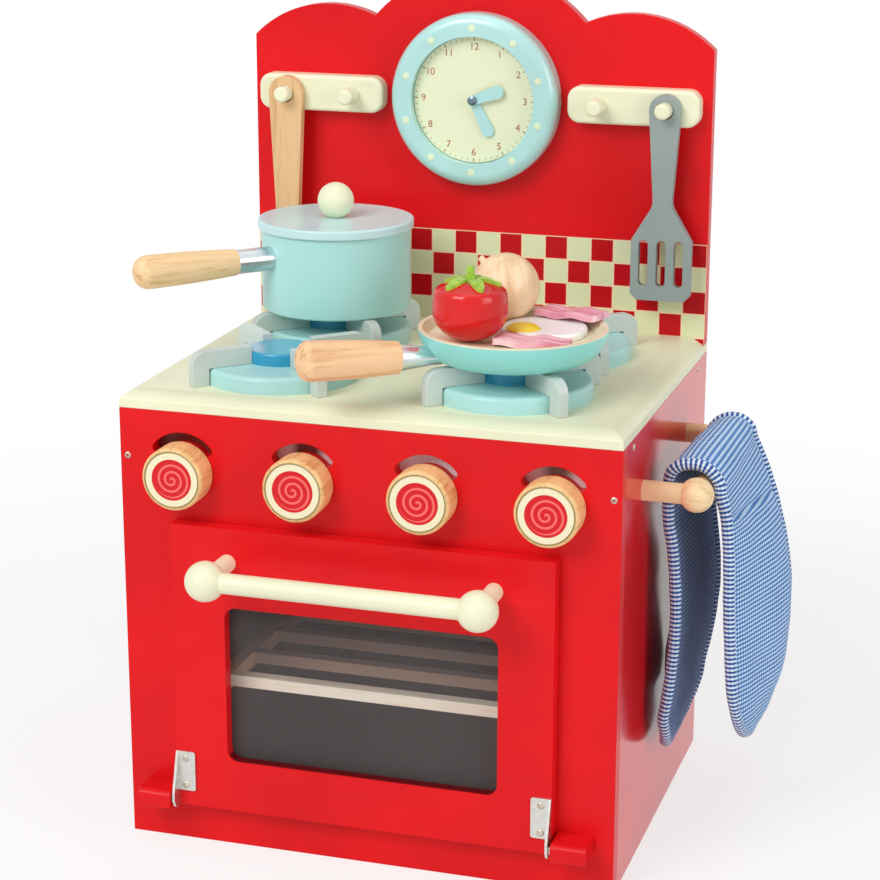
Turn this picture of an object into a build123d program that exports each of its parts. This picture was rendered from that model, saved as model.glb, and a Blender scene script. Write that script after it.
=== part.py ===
from build123d import *
import math
import os

# Wooden toy oven: cabinet with a drop-down door, four burners, pans and play food on the hob,
# a splashback with a clock and two utensils, and a towel rail with a double oven mitt.
# Origin: centre of the cabinet's underside. +X is to the right, the front faces -Y, +Z is up.

os.makedirs("parts", exist_ok=True)

# ---------------------------------------------------------------- fits and clearances
rest_gap = 0.3             # between a loose piece and what it rests on
running_clearance = 0.08   # radial, around a shaft that turns
fixed_clearance = 0.05     # radial, around a pin or dowel that is glued in
glue_line = 0.1            # between boards of one lining

# ---------------------------------------------------------------- cabinet boards
cabinet_width = 300.0
cabinet_depth = 236.0
body_height = 268.0        # ground to the underside of the hob
board = 9.0
back_board = 6.0
liner_board = 6.0
hob_thickness = 11.0
hob_bevel_width = 8.0
hob_bevel_drop = 5.5

# ---------------------------------------------------------------- splashback
splash_thickness = 9.5
splash_rebate = 5.0        # how deep it stands in the hob
shoulder_rise = 180.0      # straight sides, above the hob's top
side_scallop_rise = 21.0   # above the shoulders
side_scallop_radius = 72.5
crown_rise = 45.0          # above the shoulders
crown_radius = 92.0

# ---------------------------------------------------------------- knobs
disc_radius = 27.0         # indicator disc behind the front panel
disc_thickness = 4.0
disc_gap = 0.4
disc_side_gap = 3.0        # to the side boards and to the oven lining
disc_top_gap = 9.0         # to the hob
dowel_radius = 5.0
dowel_in_knob = 9.0
knob_radius = 18.75
knob_depth = 16.0
knob_gap = 0.4
knob_round = 2.3
knob_groove_radius = 16.4
knob_groove = 0.8
slot_inner_radius = 17.0   # arched slot above each knob
slot_outer_radius = 23.7
slot_half_angle = 57.0

# ---------------------------------------------------------------- door
stile = 34.5               # front panel left uncovered beside the door
door_bottom = 26.5
door_knob_gap = 9.75
door_thickness = 9.5
door_gap = 0.5
door_heel_round = 2.5      # lower rear edge, lets the door turn clear of the panel
lap_side = 15.5            # how far the door laps over the panel round the opening
lap_top = 13.5
lap_bottom = 11.5
window_side = 32.5         # door frame round the window
window_top = 48.3
window_bottom = 31.8
window_round = 7.0
pane_thickness = 2.0
pane_lap = 5.0
pane_play = 0.2
handle_drop = 20.7
handle_inset = 35.2
handle_reach = 33.0
handle_ball_radius = 11.75
handle_bar_radius = 6.0
handle_post_radius = 5.25
ball_socket = 4.0          # depth of the blind holes in the wooden balls

# ---------------------------------------------------------------- door hinges and catch
pin_radius = 2.5
pin_forward = 3.5          # pivot ahead of the door's face
pin_rise = 4.5             # pivot above the door's lower edge
pin_in_block = 8.0
bracket_sheet = 1.5
leaf_width = 12.0
leaf_rise = 10.0
leaf_height = 25.0
flange_reach = 5.5
block_side_gap = 1.5
block_width = 21.0
block_depth = 19.5
block_height = 10.5
block_round = 4.0
magnet_radius = 5.0
magnet_depth = 4.0
catch_plate_radius = 6.0
catch_plate_depth = 1.2

# ---------------------------------------------------------------- oven lining and rack
liner_side_gap = 1.0
runner_rise = 83.0         # runner above the base board
runner_height = 5.7
runner_width = 9.0
rack_bar_width = 8.0
rack_side_gap = 5.0
rack_height = 7.5
rack_rail_height = 7.0
rack_rail_width = 8.0
rack_rail_pitch = 38.5
rack_rail_count = 5

# ---------------------------------------------------------------- burners
burner_pitch_x = 142.0
burner_pitch_y = 98.0
burner_centre_y = -11.0
burner_radius = 46.5
burner_height = 10.0
burner_round = 3.0
hub_radius = 20.0
hub_height = 7.5
hub_round = 1.5
trivet_arm_height = 11.0
trivet_arm_width = 6.5
trivet_leg_gap = 0.5
trivet_leg_width = 10.5
trivet_round = 9.0

# ---------------------------------------------------------------- peg rails and clock
fittings_rise = 145.0      # axis of clock and pegs above the hob's top
clock_radius = 54.3
clock_depth = 15.5
clock_round = 7.0
clock_recess_radius = 40.0
clock_recess_depth = 7.0
dial_play = 0.4
dial_thickness = 1.0
spindle_radius = 1.5
spindle_in_case = 3.0
spindle_head_radius = 3.0
hand_thickness = 1.6
hand_gap = 0.3
minute_hand_length = 21.0
hour_hand_length = 17.0
hand_root_width = 6.0
hand_tip_width = 8.0
minute_hand_angle = 153.0  # clockwise from twelve
hour_hand_angle = 70.0
rail_clock_gap = 6.2
rail_outer_inset = 6.0
rail_height = 23.0
rail_thickness = 11.0
rail_corner_round = 8.0
rail_edge_round = 2.5
peg_radius = 5.0
peg_pitch = 43.0
peg_reach = 15.5
peg_in_rail = 6.0
peg_round = 2.0

# ---------------------------------------------------------------- utensils
utensil_thickness = 6.0
utensil_hole_clearance = 0.5
spatula_top_width = 19.6
spatula_neck_width = 11.6
spatula_neck_drop = 59.0   # drops are below the peg's axis
spatula_shoulder_drop = 81.0
spatula_length = 119.0
spatula_blade_width = 38.0
spatula_corner = 4.0
spatula_slot_width = 6.0
spatula_slot_height = 29.0
spatula_slot_pitch = 11.2
spoon_top_width = 22.6
spoon_neck_width = 15.0
spoon_neck_drop = 78.0
spoon_length = 121.0
spoon_bowl_width = 26.0
spoon_hollow = 2.5
spoon_rim = 2.5

# ---------------------------------------------------------------- saucepan
pan_turn_radius = 1.2      # eased edges of turned ware
saucepan_radius = 46.4
saucepan_height = 49.7
saucepan_wall = 4.0
saucepan_floor = 6.0
saucepan_heading = 228.0   # direction of the handle, anticlockwise from +X
saucepan_handle_rise = 34.7
saucepan_ferrule_radius = 7.5
saucepan_ferrule_length = 23.6
saucepan_grip_length = 67.0
saucepan_grip_root_radius = 8.0
saucepan_grip_end_radius = 10.2
saucepan_grip_end_round = 9.0
lid_radius = 48.5
lid_thickness = 6.0
lid_plug = 3.0
lid_plug_play = 0.5
lid_knob_radius = 11.25
lid_knob_flat = 0.7

# ---------------------------------------------------------------- frying pan
frying_rim_radius = 54.5
frying_base_radius = 37.0
frying_height = 18.7
frying_rim_wall = 2.5
frying_recess = 5.5
frying_recess_draft = 3.0  # recess wall leans out by this much
frying_heading = 220.0
frying_handle_rise = 6.1
frying_handle_slope = 3.1
frying_ferrule_length = 21.5
frying_ferrule_root_radius = 5.0
frying_ferrule_end_radius = 8.0
frying_grip_length = 60.0
frying_grip_root_radius = 9.3
frying_grip_end_radius = 11.5
frying_grip_end_round = 7.0

# ---------------------------------------------------------------- play food
tomato_radius = 21.6
tomato_half_height = 17.2
tomato_offset = (-20.2, -18.5)   # from the frying pan's axis
leaf_thickness = 2.0
leaf_reach = 17.5
leaf_count = 5
stem_radius = 2.6
stem_height = 11.0
onion_radius = 20.0
onion_tip = 3.0
onion_tip_radius = 2.2
onion_offset = (-14.5, 34.8)
egg_radius = 27.0
egg_thickness = 3.8
egg_offset = (15.0, 14.0)
egg_ripple = 2.5           # how far the three lobes stand out
egg_lobe_radius = 14.0
egg_lobe_angle = -35.0
yolk_radius = 10.0
yolk_height = 3.6
yolk_offset = (-10.0, -11.0)
bacon_length = 44.0
bacon_width = 18.0
bacon_thickness = 3.4
bacon_wave = 0.7
bacon_round = 3.0
front_bacon_offset = (17.0, -21.0)
rear_bacon_offset = (25.5, 35.0)
rear_bacon_turn = -18.0
rear_bacon_tilt = 3.1
rear_bacon_bearing = 14.0  # from its middle to the pan's rim

# ---------------------------------------------------------------- towel rail and mitt
towel_rail_drop = 38.0     # bar's axis below the hob
towel_front_y = -64.5
towel_rear_y = 60.5
towel_reach = 31.0
towel_post_radius = 6.0
towel_post_tenon_radius = 4.0
towel_post_tenon = 5.0
towel_ball_radius = 10.0
towel_bar_radius = 5.75
mitt_width = 96.0
mitt_front_gap = 12.5      # from the front post's axis
mitt_thickness = 8.5
mitt_fold_radius = 13.0    # of its centre line over the bar
mitt_end_round = 38.0
mitt_inner_tip = (-22.0, -168.0)  # centre line of each end, from the fold's axis
mitt_outer_tip = (25.0, -166.0)

# ---------------------------------------------------------------- derived positions
half_width = cabinet_width / 2
inside_half = half_width - board
front_y = -cabinet_depth / 2
back_y = cabinet_depth / 2
panel_back_y = front_y + board
inside_back_y = back_y - back_board
hob_top = body_height + hob_thickness
splash_face_y = back_y - splash_thickness

knob_z = body_height - disc_top_gap - disc_radius
knob_outer_x = inside_half - disc_side_gap - disc_radius
knob_xs = [knob_outer_x * step / 3 for step in (-3, -1, 1, 3)]
disc_front_y = panel_back_y + disc_gap
knob_back_y = front_y - knob_gap

door_half = half_width - stile
door_top = knob_z - knob_radius - door_knob_gap
door_back_y = front_y - door_gap
door_front_y = door_back_y - door_thickness
opening_half = door_half - lap_side
opening_top = door_top - lap_top
opening_bottom = door_bottom + lap_bottom
catch_z = (opening_top + door_top) / 2
handle_z = door_top - handle_drop
handle_x = door_half - handle_inset
handle_y = door_front_y - handle_reach
pin_y = door_front_y - pin_forward
pin_z = door_bottom + pin_rise
block_inner_x = door_half + block_side_gap

ceiling_top = knob_z - disc_radius - disc_side_gap
liner_inner_x = opening_half + liner_side_gap
runner_top = board + runner_rise + runner_height
rack_bottom = runner_top + rest_gap
rack_outer_x = liner_inner_x - rack_side_gap
rack_inner_x = rack_outer_x - rack_bar_width
rack_length = rack_rail_pitch * (rack_rail_count - 1) + rack_rail_width

burner_top = hob_top + burner_height
trivet_top = burner_top + trivet_arm_height
pan_base = trivet_top + rest_gap
left_x = -burner_pitch_x / 2
right_x = burner_pitch_x / 2
front_burner_y = burner_centre_y - burner_pitch_y / 2
rear_burner_y = burner_centre_y + burner_pitch_y / 2

fittings_z = hob_top + fittings_rise
towel_rail_z = body_height - towel_rail_drop
rail_inner_x = clock_radius + rail_clock_gap
rail_outer_x = half_width - rail_outer_inset
rail_centre_x = (rail_inner_x + rail_outer_x) / 2
rail_face_y = splash_face_y - rail_thickness
outer_peg_x = rail_centre_x + peg_pitch / 2


def save(piece, name):
    """Label a finished piece and write it."""
    piece.part.label = name
    export_step(piece.part, f"parts/{name}.step")


def front_plane(y):
    """Upright plane at y: local x is +X, local y is +Z, and it faces the front."""
    return Plane.XZ.offset(-y)


def turning_plane(x, y, z):
    """Plane for a profile turned about a line along Y: local x is radius, local y runs forwards."""
    return Plane(origin=(x, y, z), x_dir=(1, 0, 0), z_dir=(0, 0, -1))


def upright_turning_plane(x, y, z):
    """Plane for a profile turned about a vertical line: local x is radius, local y is up."""
    return Plane(origin=(x, y, z), x_dir=(1, 0, 0), z_dir=(0, -1, 0))


# ================================================================ cabinet
for side, sign in (("left", -1), ("right", 1)):
    with BuildPart() as side_panel:
        with BuildSketch(Plane.XY):
            with Locations((sign * (half_width - board / 2), (panel_back_y + back_y) / 2)):
                Rectangle(board, back_y - panel_back_y)
        extrude(amount=body_height)
        if side == "right":
            with BuildSketch(Plane.YZ.offset(half_width)):
                with Locations((towel_front_y, towel_rail_z), (towel_rear_y, towel_rail_z)):
                    Circle(towel_post_tenon_radius + fixed_clearance)
            extrude(amount=-towel_post_tenon - fixed_clearance, mode=Mode.SUBTRACT)
    save(side_panel, f"side_panel_{side}")

with BuildPart() as base_panel:
    with BuildSketch(Plane.XY):
        with Locations((0, (panel_back_y + inside_back_y) / 2)):
            Rectangle(2 * inside_half, inside_back_y - panel_back_y)
    extrude(amount=board)
save(base_panel, "base_panel")

with BuildPart() as back_panel:
    with BuildSketch(Plane.XY):
        with Locations((0, back_y - back_board / 2)):
            Rectangle(2 * inside_half, back_board)
    extrude(amount=body_height)
save(back_panel, "back_panel")

slot_mid_radius = (slot_inner_radius + slot_outer_radius) / 2
slot_width = slot_outer_radius - slot_inner_radius
slot_end_angle = math.degrees(slot_width / 2 / slot_mid_radius)
slot_sweep = 2 * (slot_half_angle - slot_end_angle)

with BuildSketch() as knob_slot:
    with BuildLine():
        outer_arc = CenterArc((0, 0), slot_outer_radius, 90 - slot_sweep / 2, slot_sweep)
        inner_arc = CenterArc((0, 0), slot_inner_radius, 90 - slot_sweep / 2, slot_sweep)
        TangentArc(outer_arc @ 1, inner_arc @ 1, tangent=outer_arc % 1)
        TangentArc(inner_arc @ 0, outer_arc @ 0, tangent=(inner_arc % 0) * -1)
    make_face()

with BuildPart() as front_panel:
    with BuildSketch(front_plane(panel_back_y)):
        with Locations((0, body_height / 2)):
            Rectangle(cabinet_width, body_height)
        with Locations((0, (opening_bottom + opening_top) / 2)):
            Rectangle(2 * opening_half, opening_top - opening_bottom, mode=Mode.SUBTRACT)
        with Locations(*[(x, knob_z) for x in knob_xs]):
            Circle(dowel_radius + running_clearance, mode=Mode.SUBTRACT)
            add(knob_slot.sketch, mode=Mode.SUBTRACT)
    extrude(amount=board)
    with BuildSketch(front_plane(front_y)):
        with Locations((0, catch_z)):
            Circle(magnet_radius + fixed_clearance)
    extrude(amount=-magnet_depth, mode=Mode.SUBTRACT)
save(front_panel, "front_panel")

with BuildPart() as catch_magnet:
    with BuildSketch(front_plane(front_y)):
        with Locations((0, catch_z)):
            Circle(magnet_radius)
    extrude(amount=-magnet_depth)
save(catch_magnet, "catch_magnet")

# Oven lining: a ceiling on two walls that stand on the base board.
liner_depth = inside_back_y - panel_back_y
with BuildPart() as oven_liner:
    with BuildSketch(Plane.XY.offset(board)):
        with Locations((0, (panel_back_y + inside_back_y) / 2)):
            with GridLocations(2 * liner_inner_x + liner_board, 0, 2, 1):
                Rectangle(liner_board, liner_depth)
    extrude(amount=ceiling_top - liner_board - glue_line - board)
    with BuildSketch(Plane.XY.offset(ceiling_top - liner_board)):
        with Locations((0, (panel_back_y + inside_back_y) / 2)):
            Rectangle(2 * (liner_inner_x + liner_board), liner_depth)
    extrude(amount=liner_board)
save(oven_liner, "oven_liner")

with BuildPart() as rack_runners:
    with BuildSketch(Plane.XY.offset(board + runner_rise)):
        with Locations((0, (panel_back_y + inside_back_y) / 2)):
            with GridLocations(2 * liner_inner_x - runner_width, 0, 2, 1):
                Rectangle(runner_width, liner_depth)
    extrude(amount=runner_height)
save(rack_runners, "rack_runners")

with BuildPart() as hob_board:
    with BuildSketch(Plane.XY.offset(body_height)):
        Rectangle(cabinet_width, cabinet_depth)
    extrude(amount=hob_thickness - hob_bevel_drop)
    with BuildSketch(Plane.XY.offset(hob_top - hob_bevel_drop)):
        Rectangle(cabinet_width, cabinet_depth)
    with BuildSketch(Plane.XY.offset(hob_top)):
        with Locations((0, hob_bevel_width / 2)):
            Rectangle(cabinet_width - 2 * hob_bevel_width, cabinet_depth - hob_bevel_width)
    loft()
    with BuildSketch(Plane.XY.offset(hob_top)):
        with Locations((0, back_y - splash_thickness / 2)):
            Rectangle(cabinet_width, splash_thickness)
    extrude(amount=-splash_rebate, mode=Mode.SUBTRACT)
save(hob_board, "hob_board")

# Splashback: a board with a scallop over each half and a taller one in the middle.
splash_bottom = hob_top - splash_rebate
shoulder_z = hob_top + shoulder_rise
side_scallop_z = shoulder_z + side_scallop_rise - side_scallop_radius
side_scallop_x = half_width - math.sqrt(side_scallop_radius**2 - (shoulder_z - side_scallop_z) ** 2)
crown_top = shoulder_z + crown_rise
crown_z = crown_top - crown_radius
with BuildPart() as splashback:
    with BuildSketch(front_plane(back_y)):
        with Locations((0, (splash_bottom + shoulder_z) / 2)):
            Rectangle(cabinet_width, shoulder_z - splash_bottom)
        with Locations((-side_scallop_x, side_scallop_z), (side_scallop_x, side_scallop_z)):
            Circle(side_scallop_radius)
        with Locations((0, crown_z)):
            Circle(crown_radius)
        with Locations((0, crown_top)):
            Rectangle(cabinet_width, 2 * (crown_top - splash_bottom), mode=Mode.INTERSECT)
    extrude(amount=splash_thickness)
save(splashback, "splashback")

# ================================================================ door
with BuildPart() as door_board:
    with BuildSketch(front_plane(door_back_y)):
        with Locations((0, (door_bottom + door_top) / 2)):
            Rectangle(2 * door_half, door_top - door_bottom)
    extrude(amount=door_thickness)
    heel = door_board.edges().filter_by(Axis.X).group_by(Axis.Z)[0].sort_by(Axis.Y)[-1]
    fillet(heel, door_heel_round)
    window_half = door_half - window_side
    window_low = door_bottom + window_bottom
    window_high = door_top - window_top
    window_mid = (window_low + window_high) / 2
    with BuildSketch(front_plane(door_back_y)):
        with Locations((0, window_mid)):
            RectangleRounded(2 * window_half, window_high - window_low, window_round)
    extrude(amount=door_thickness, mode=Mode.SUBTRACT)
    with BuildSketch(front_plane(door_back_y)):
        with Locations((0, window_mid)):
            Rectangle(2 * (window_half + pane_lap), window_high - window_low + 2 * pane_lap)
    extrude(amount=pane_thickness, mode=Mode.SUBTRACT)
    with BuildSketch(front_plane(door_back_y)):
        with Locations((0, catch_z)):
            Circle(catch_plate_radius + fixed_clearance)
    extrude(amount=catch_plate_depth, mode=Mode.SUBTRACT)
save(door_board, "door_board")

with BuildPart() as door_window:
    with BuildSketch(front_plane(door_back_y)):
        with Locations((0, window_mid)):
            Rectangle(
                2 * (window_half + pane_lap - pane_play),
                window_high - window_low + 2 * (pane_lap - pane_play),
            )
    extrude(amount=pane_thickness)
save(door_window, "door_window")

with BuildPart() as catch_plate:
    with BuildSketch(front_plane(door_back_y)):
        with Locations((0, catch_z)):
            Circle(catch_plate_radius)
    extrude(amount=catch_plate_depth)
save(catch_plate, "catch_plate")

handle_ends = ((-handle_x, handle_y, handle_z), (handle_x, handle_y, handle_z))
handle_socket_start = handle_ball_radius - ball_socket
with BuildPart() as handle_balls:
    with Locations(*handle_ends):
        Sphere(handle_ball_radius)
    with BuildSketch(Plane.YZ.offset(-handle_x + handle_socket_start)):
        with Locations((handle_y, handle_z)):
            Circle(handle_bar_radius + fixed_clearance)
    extrude(amount=2 * (handle_x - handle_socket_start), mode=Mode.SUBTRACT)
    with BuildSketch(front_plane(handle_y + handle_socket_start)):
        with Locations((-handle_x, handle_z), (handle_x, handle_z)):
            Circle(handle_post_radius + fixed_clearance)
    extrude(amount=-ball_socket * 2, mode=Mode.SUBTRACT)
save(handle_balls, "handle_balls")

with BuildPart() as handle_bar:
    with BuildSketch(Plane.YZ.offset(-handle_x + handle_socket_start + fixed_clearance)):
        with Locations((handle_y, handle_z)):
            Circle(handle_bar_radius)
    extrude(amount=2 * (handle_x - handle_socket_start - fixed_clearance))
save(handle_bar, "handle_bar")

with BuildPart() as handle_posts:
    with BuildSketch(front_plane(door_front_y)):
        with Locations((-handle_x, handle_z), (handle_x, handle_z)):
            Circle(handle_post_radius)
    extrude(amount=handle_reach - handle_socket_start - fixed_clearance)
save(handle_posts, "handle_posts")

# Zinc angle at each lower corner: a leaf on the door's face and a flange that holds the pin.
flange_bottom = pin_z - flange_reach / 2 - pin_radius / 2
leaf_bottom = door_bottom + leaf_rise
leaf_top = leaf_bottom + leaf_height
flange_front_y = pin_y - flange_reach
with BuildPart() as hinge_brackets:
    for sign in (-1, 1):
        with BuildSketch(front_plane(door_front_y)):
            with Locations((sign * (door_half - leaf_width / 2), (leaf_bottom + leaf_top) / 2)):
                RectangleRounded(leaf_width, leaf_height, bracket_sheet)
        extrude(amount=bracket_sheet)
        flange_x = door_half if sign > 0 else bracket_sheet - door_half
        with BuildSketch(Plane.YZ.offset(flange_x)):
            with BuildLine():
                Polyline(
                    (door_front_y, leaf_top),
                    (door_front_y, pin_z),
                    (pin_y, flange_bottom),
                    (flange_front_y, pin_z),
                    (flange_front_y, leaf_bottom),
                    (door_front_y - bracket_sheet, leaf_top),
                    close=True,
                )
            make_face()
            with Locations((pin_y, pin_z)):
                Circle(flange_reach - bracket_sheet / 2)
            with Locations((door_front_y + flange_reach, pin_z)):
                Rectangle(2 * flange_reach, 4 * flange_reach, mode=Mode.SUBTRACT)
            with Locations((pin_y, pin_z)):
                Circle(pin_radius + fixed_clearance, mode=Mode.SUBTRACT)
        extrude(amount=-bracket_sheet)
save(hinge_brackets, "hinge_brackets")

with BuildPart() as hinge_pins:
    for sign in (-1, 1):
        with BuildSketch(Plane.YZ.offset(sign * (door_half - bracket_sheet))):
            with Locations((pin_y, pin_z)):
                Circle(pin_radius)
        extrude(amount=sign * (bracket_sheet + block_side_gap + pin_in_block))
save(hinge_pins, "hinge_pins")

with BuildPart() as hinge_blocks:
    with BuildSketch(front_plane(front_y)):
        with Locations((0, door_bottom + block_height / 2)):
            with GridLocations(2 * block_inner_x + block_width, 0, 2, 1):
                Rectangle(block_width, block_height)
    extrude(amount=block_depth)
    top_front_edges = hinge_blocks.edges().filter_by(Axis.X).group_by(Axis.Z)[-1].group_by(Axis.Y)[0]
    fillet(top_front_edges, block_round)
    for sign in (-1, 1):
        with BuildSketch(Plane.YZ.offset(sign * block_inner_x)):
            with Locations((pin_y, pin_z)):
                Circle(pin_radius + running_clearance)
        extrude(amount=sign * (pin_in_block + rest_gap), mode=Mode.SUBTRACT)
save(hinge_blocks, "hinge_blocks")

# ================================================================ rack
rack_mid_y = panel_back_y + rack_length / 2
with BuildPart() as rack_side_bars:
    with BuildSketch(Plane.XY.offset(rack_bottom)):
        with Locations((0, rack_mid_y)):
            with GridLocations(rack_outer_x + rack_inner_x, 0, 2, 1):
                Rectangle(rack_bar_width, rack_length)
    extrude(amount=rack_height)
save(rack_side_bars, "rack_side_bars")

with BuildPart() as rack_rails:
    with BuildSketch(Plane.XY.offset(rack_bottom + rack_height)):
        with Locations((0, rack_mid_y)):
            with GridLocations(0, rack_rail_pitch, 1, rack_rail_count):
                Rectangle(2 * rack_inner_x, rack_rail_width)
    extrude(amount=-rack_rail_height)
save(rack_rails, "rack_rails")

# ================================================================ knobs
dowel_length = disc_gap + board + knob_gap + dowel_in_knob
for number, x in enumerate(knob_xs, start=1):
    with BuildPart() as knob:
        with BuildSketch(turning_plane(x, knob_back_y, knob_z)) as knob_profile:
            with Locations((knob_radius / 2, knob_depth / 2)):
                Rectangle(knob_radius, knob_depth)
            fillet(knob_profile.vertices().group_by(Axis.X)[-1].sort_by(Axis.Y)[-1], knob_round)
            with Locations((0, 0)):
                Rectangle(
                    2 * (dowel_radius + fixed_clearance),
                    2 * dowel_in_knob,
                    mode=Mode.SUBTRACT,
                )
            with Locations((knob_groove_radius, knob_depth)):
                Rectangle(knob_groove, 2 * knob_groove, mode=Mode.SUBTRACT)
        revolve(axis=Axis((x, 0, knob_z), (0, 1, 0)))
    save(knob, f"knob_{number}")

    with BuildPart() as indicator:
        with BuildSketch(front_plane(disc_front_y + disc_thickness)):
            with Locations((x, knob_z)):
                Circle(disc_radius)
        extrude(amount=disc_thickness)
        with BuildSketch(front_plane(disc_front_y)):
            with Locations((x, knob_z)):
                Circle(dowel_radius)
        extrude(amount=dowel_length)
    save(indicator, f"indicator_{number}")

# ================================================================ burners and trivets
with BuildPart() as burner_discs:
    with Locations((0, burner_centre_y, hob_top)):
        with GridLocations(burner_pitch_x, burner_pitch_y, 2, 2):
            Cylinder(burner_radius, burner_height, align=(Align.CENTER, Align.CENTER, Align.MIN))
    fillet(burner_discs.faces().group_by(Axis.Z)[-1].edges(), burner_round)
save(burner_discs, "burner_discs")

with BuildPart() as burner_hubs:
    with Locations((0, burner_centre_y, burner_top)):
        with GridLocations(burner_pitch_x, burner_pitch_y, 2, 2):
            Cylinder(hub_radius, hub_height, align=(Align.CENTER, Align.CENTER, Align.MIN))
    fillet(burner_hubs.faces().group_by(Axis.Z)[-1].edges(), hub_round)
save(burner_hubs, "burner_hubs")

leg_inner = burner_radius + trivet_leg_gap
leg_outer = leg_inner + trivet_leg_width
with BuildPart() as trivet_arm:
    with BuildSketch(Plane.XZ) as arm_profile:
        with BuildLine():
            Polyline(
                (hub_radius / 2, burner_height),
                (leg_inner, burner_height),
                (leg_inner, 0),
                (leg_outer, 0),
                (leg_outer, burner_height + trivet_arm_height),
                (hub_radius / 2, burner_height + trivet_arm_height),
                close=True,
            )
        make_face()
        fillet(arm_profile.vertices().group_by(Axis.X)[-1].sort_by(Axis.Y)[-1], trivet_round)
    extrude(amount=trivet_arm_width / 2, both=True)
    Cylinder(hub_radius, 4 * trivet_arm_height + burner_height, mode=Mode.SUBTRACT)

with BuildPart() as trivets:
    with Locations((0, burner_centre_y, hob_top)):
        with GridLocations(burner_pitch_x, burner_pitch_y, 2, 2):
            with PolarLocations(0, 4, start_angle=45):
                add(trivet_arm.part)
save(trivets, "trivets")

# ================================================================ clock
clock_plane = turning_plane(0, splash_face_y, fittings_z)
clock_axis = Axis((0, splash_face_y, fittings_z), (0, 1, 0))
recess_height = clock_depth - clock_recess_depth
with BuildPart() as clock_case:
    with BuildSketch(clock_plane) as case_profile:
        with Locations((clock_radius / 2, clock_depth / 2)):
            Rectangle(clock_radius, clock_depth)
        fillet(case_profile.vertices().group_by(Axis.X)[-1].sort_by(Axis.Y)[-1], clock_round)
        with Locations((0, clock_depth)):
            Rectangle(2 * clock_recess_radius, 2 * clock_recess_depth, mode=Mode.SUBTRACT)
        with Locations((0, recess_height)):
            Rectangle(
                2 * (spindle_radius + fixed_clearance), 2 * spindle_in_case, mode=Mode.SUBTRACT
            )
    revolve(axis=clock_axis)
save(clock_case, "clock_case")

with BuildPart() as clock_dial:
    with BuildSketch(front_plane(splash_face_y - recess_height)):
        with Locations((0, fittings_z)):
            Circle(clock_recess_radius - dial_play)
            Circle(spindle_radius + fixed_clearance, mode=Mode.SUBTRACT)
    extrude(amount=dial_thickness)
save(clock_dial, "clock_dial")

minute_hand_back = recess_height + dial_thickness + hand_gap
hour_hand_back = minute_hand_back + hand_thickness + hand_gap
spindle_head_back = hour_hand_back + hand_thickness + hand_gap
for name, back, length, angle in (
    ("minute_hand", minute_hand_back, minute_hand_length, minute_hand_angle),
    ("hour_hand", hour_hand_back, hour_hand_length, hour_hand_angle),
):
    with BuildPart() as hand:
        with BuildSketch(front_plane(splash_face_y - back)):
            with Locations(Location((0, fittings_z, 0), (0, 0, 90 - angle))):
                Circle(hand_root_width / 2)
                with Locations((length / 2, 0)):
                    Trapezoid(hand_tip_width, length, 86, rotation=90)
                with Locations((length, 0)):
                    Circle(hand_tip_width / 2)
                Circle(spindle_radius + running_clearance, mode=Mode.SUBTRACT)
        extrude(amount=hand_thickness)
    save(hand, name)

with BuildPart() as clock_spindle:
    with BuildSketch(clock_plane):
        with BuildLine():
            Polyline(
                (0, recess_height - spindle_in_case),
                (spindle_radius, recess_height - spindle_in_case),
                (spindle_radius, spindle_head_back),
                (spindle_head_radius, spindle_head_back),
                (spindle_head_radius, spindle_head_back + hand_thickness / 2),
                (spindle_radius, spindle_head_back + hand_thickness),
                (0, spindle_head_back + hand_thickness),
                close=True,
            )
        make_face()
    revolve(axis=clock_axis)
save(clock_spindle, "clock_spindle")

# ================================================================ peg rails
peg_points = [
    (sign * (rail_centre_x + step * peg_pitch / 2), fittings_z) for sign in (-1, 1) for step in (-1, 1)
]
with BuildPart() as peg_rails:
    with BuildSketch(front_plane(splash_face_y)):
        with Locations((-rail_centre_x, fittings_z), (rail_centre_x, fittings_z)):
            RectangleRounded(rail_outer_x - rail_inner_x, rail_height, rail_corner_round)
    extrude(amount=rail_thickness)
    fillet(peg_rails.faces().group_by(Axis.Y)[0].edges(), rail_edge_round)
    with BuildSketch(front_plane(rail_face_y)):
        with Locations(*peg_points):
            Circle(peg_radius + fixed_clearance)
    extrude(amount=-peg_in_rail, mode=Mode.SUBTRACT)
save(peg_rails, "peg_rails")

with BuildPart() as rail_pegs:
    with BuildSketch(front_plane(rail_face_y + peg_in_rail)):
        with Locations(*peg_points):
            Circle(peg_radius)
    extrude(amount=peg_in_rail + peg_reach)
    fillet(rail_pegs.faces().group_by(Axis.Y)[0].edges(), peg_round)
save(rail_pegs, "rail_pegs")

# ================================================================ utensils
hole_radius = peg_radius + utensil_hole_clearance
hang_z = fittings_z - (utensil_hole_clearance - rest_gap / 2)
utensil_back_y = rail_face_y - rest_gap

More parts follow.
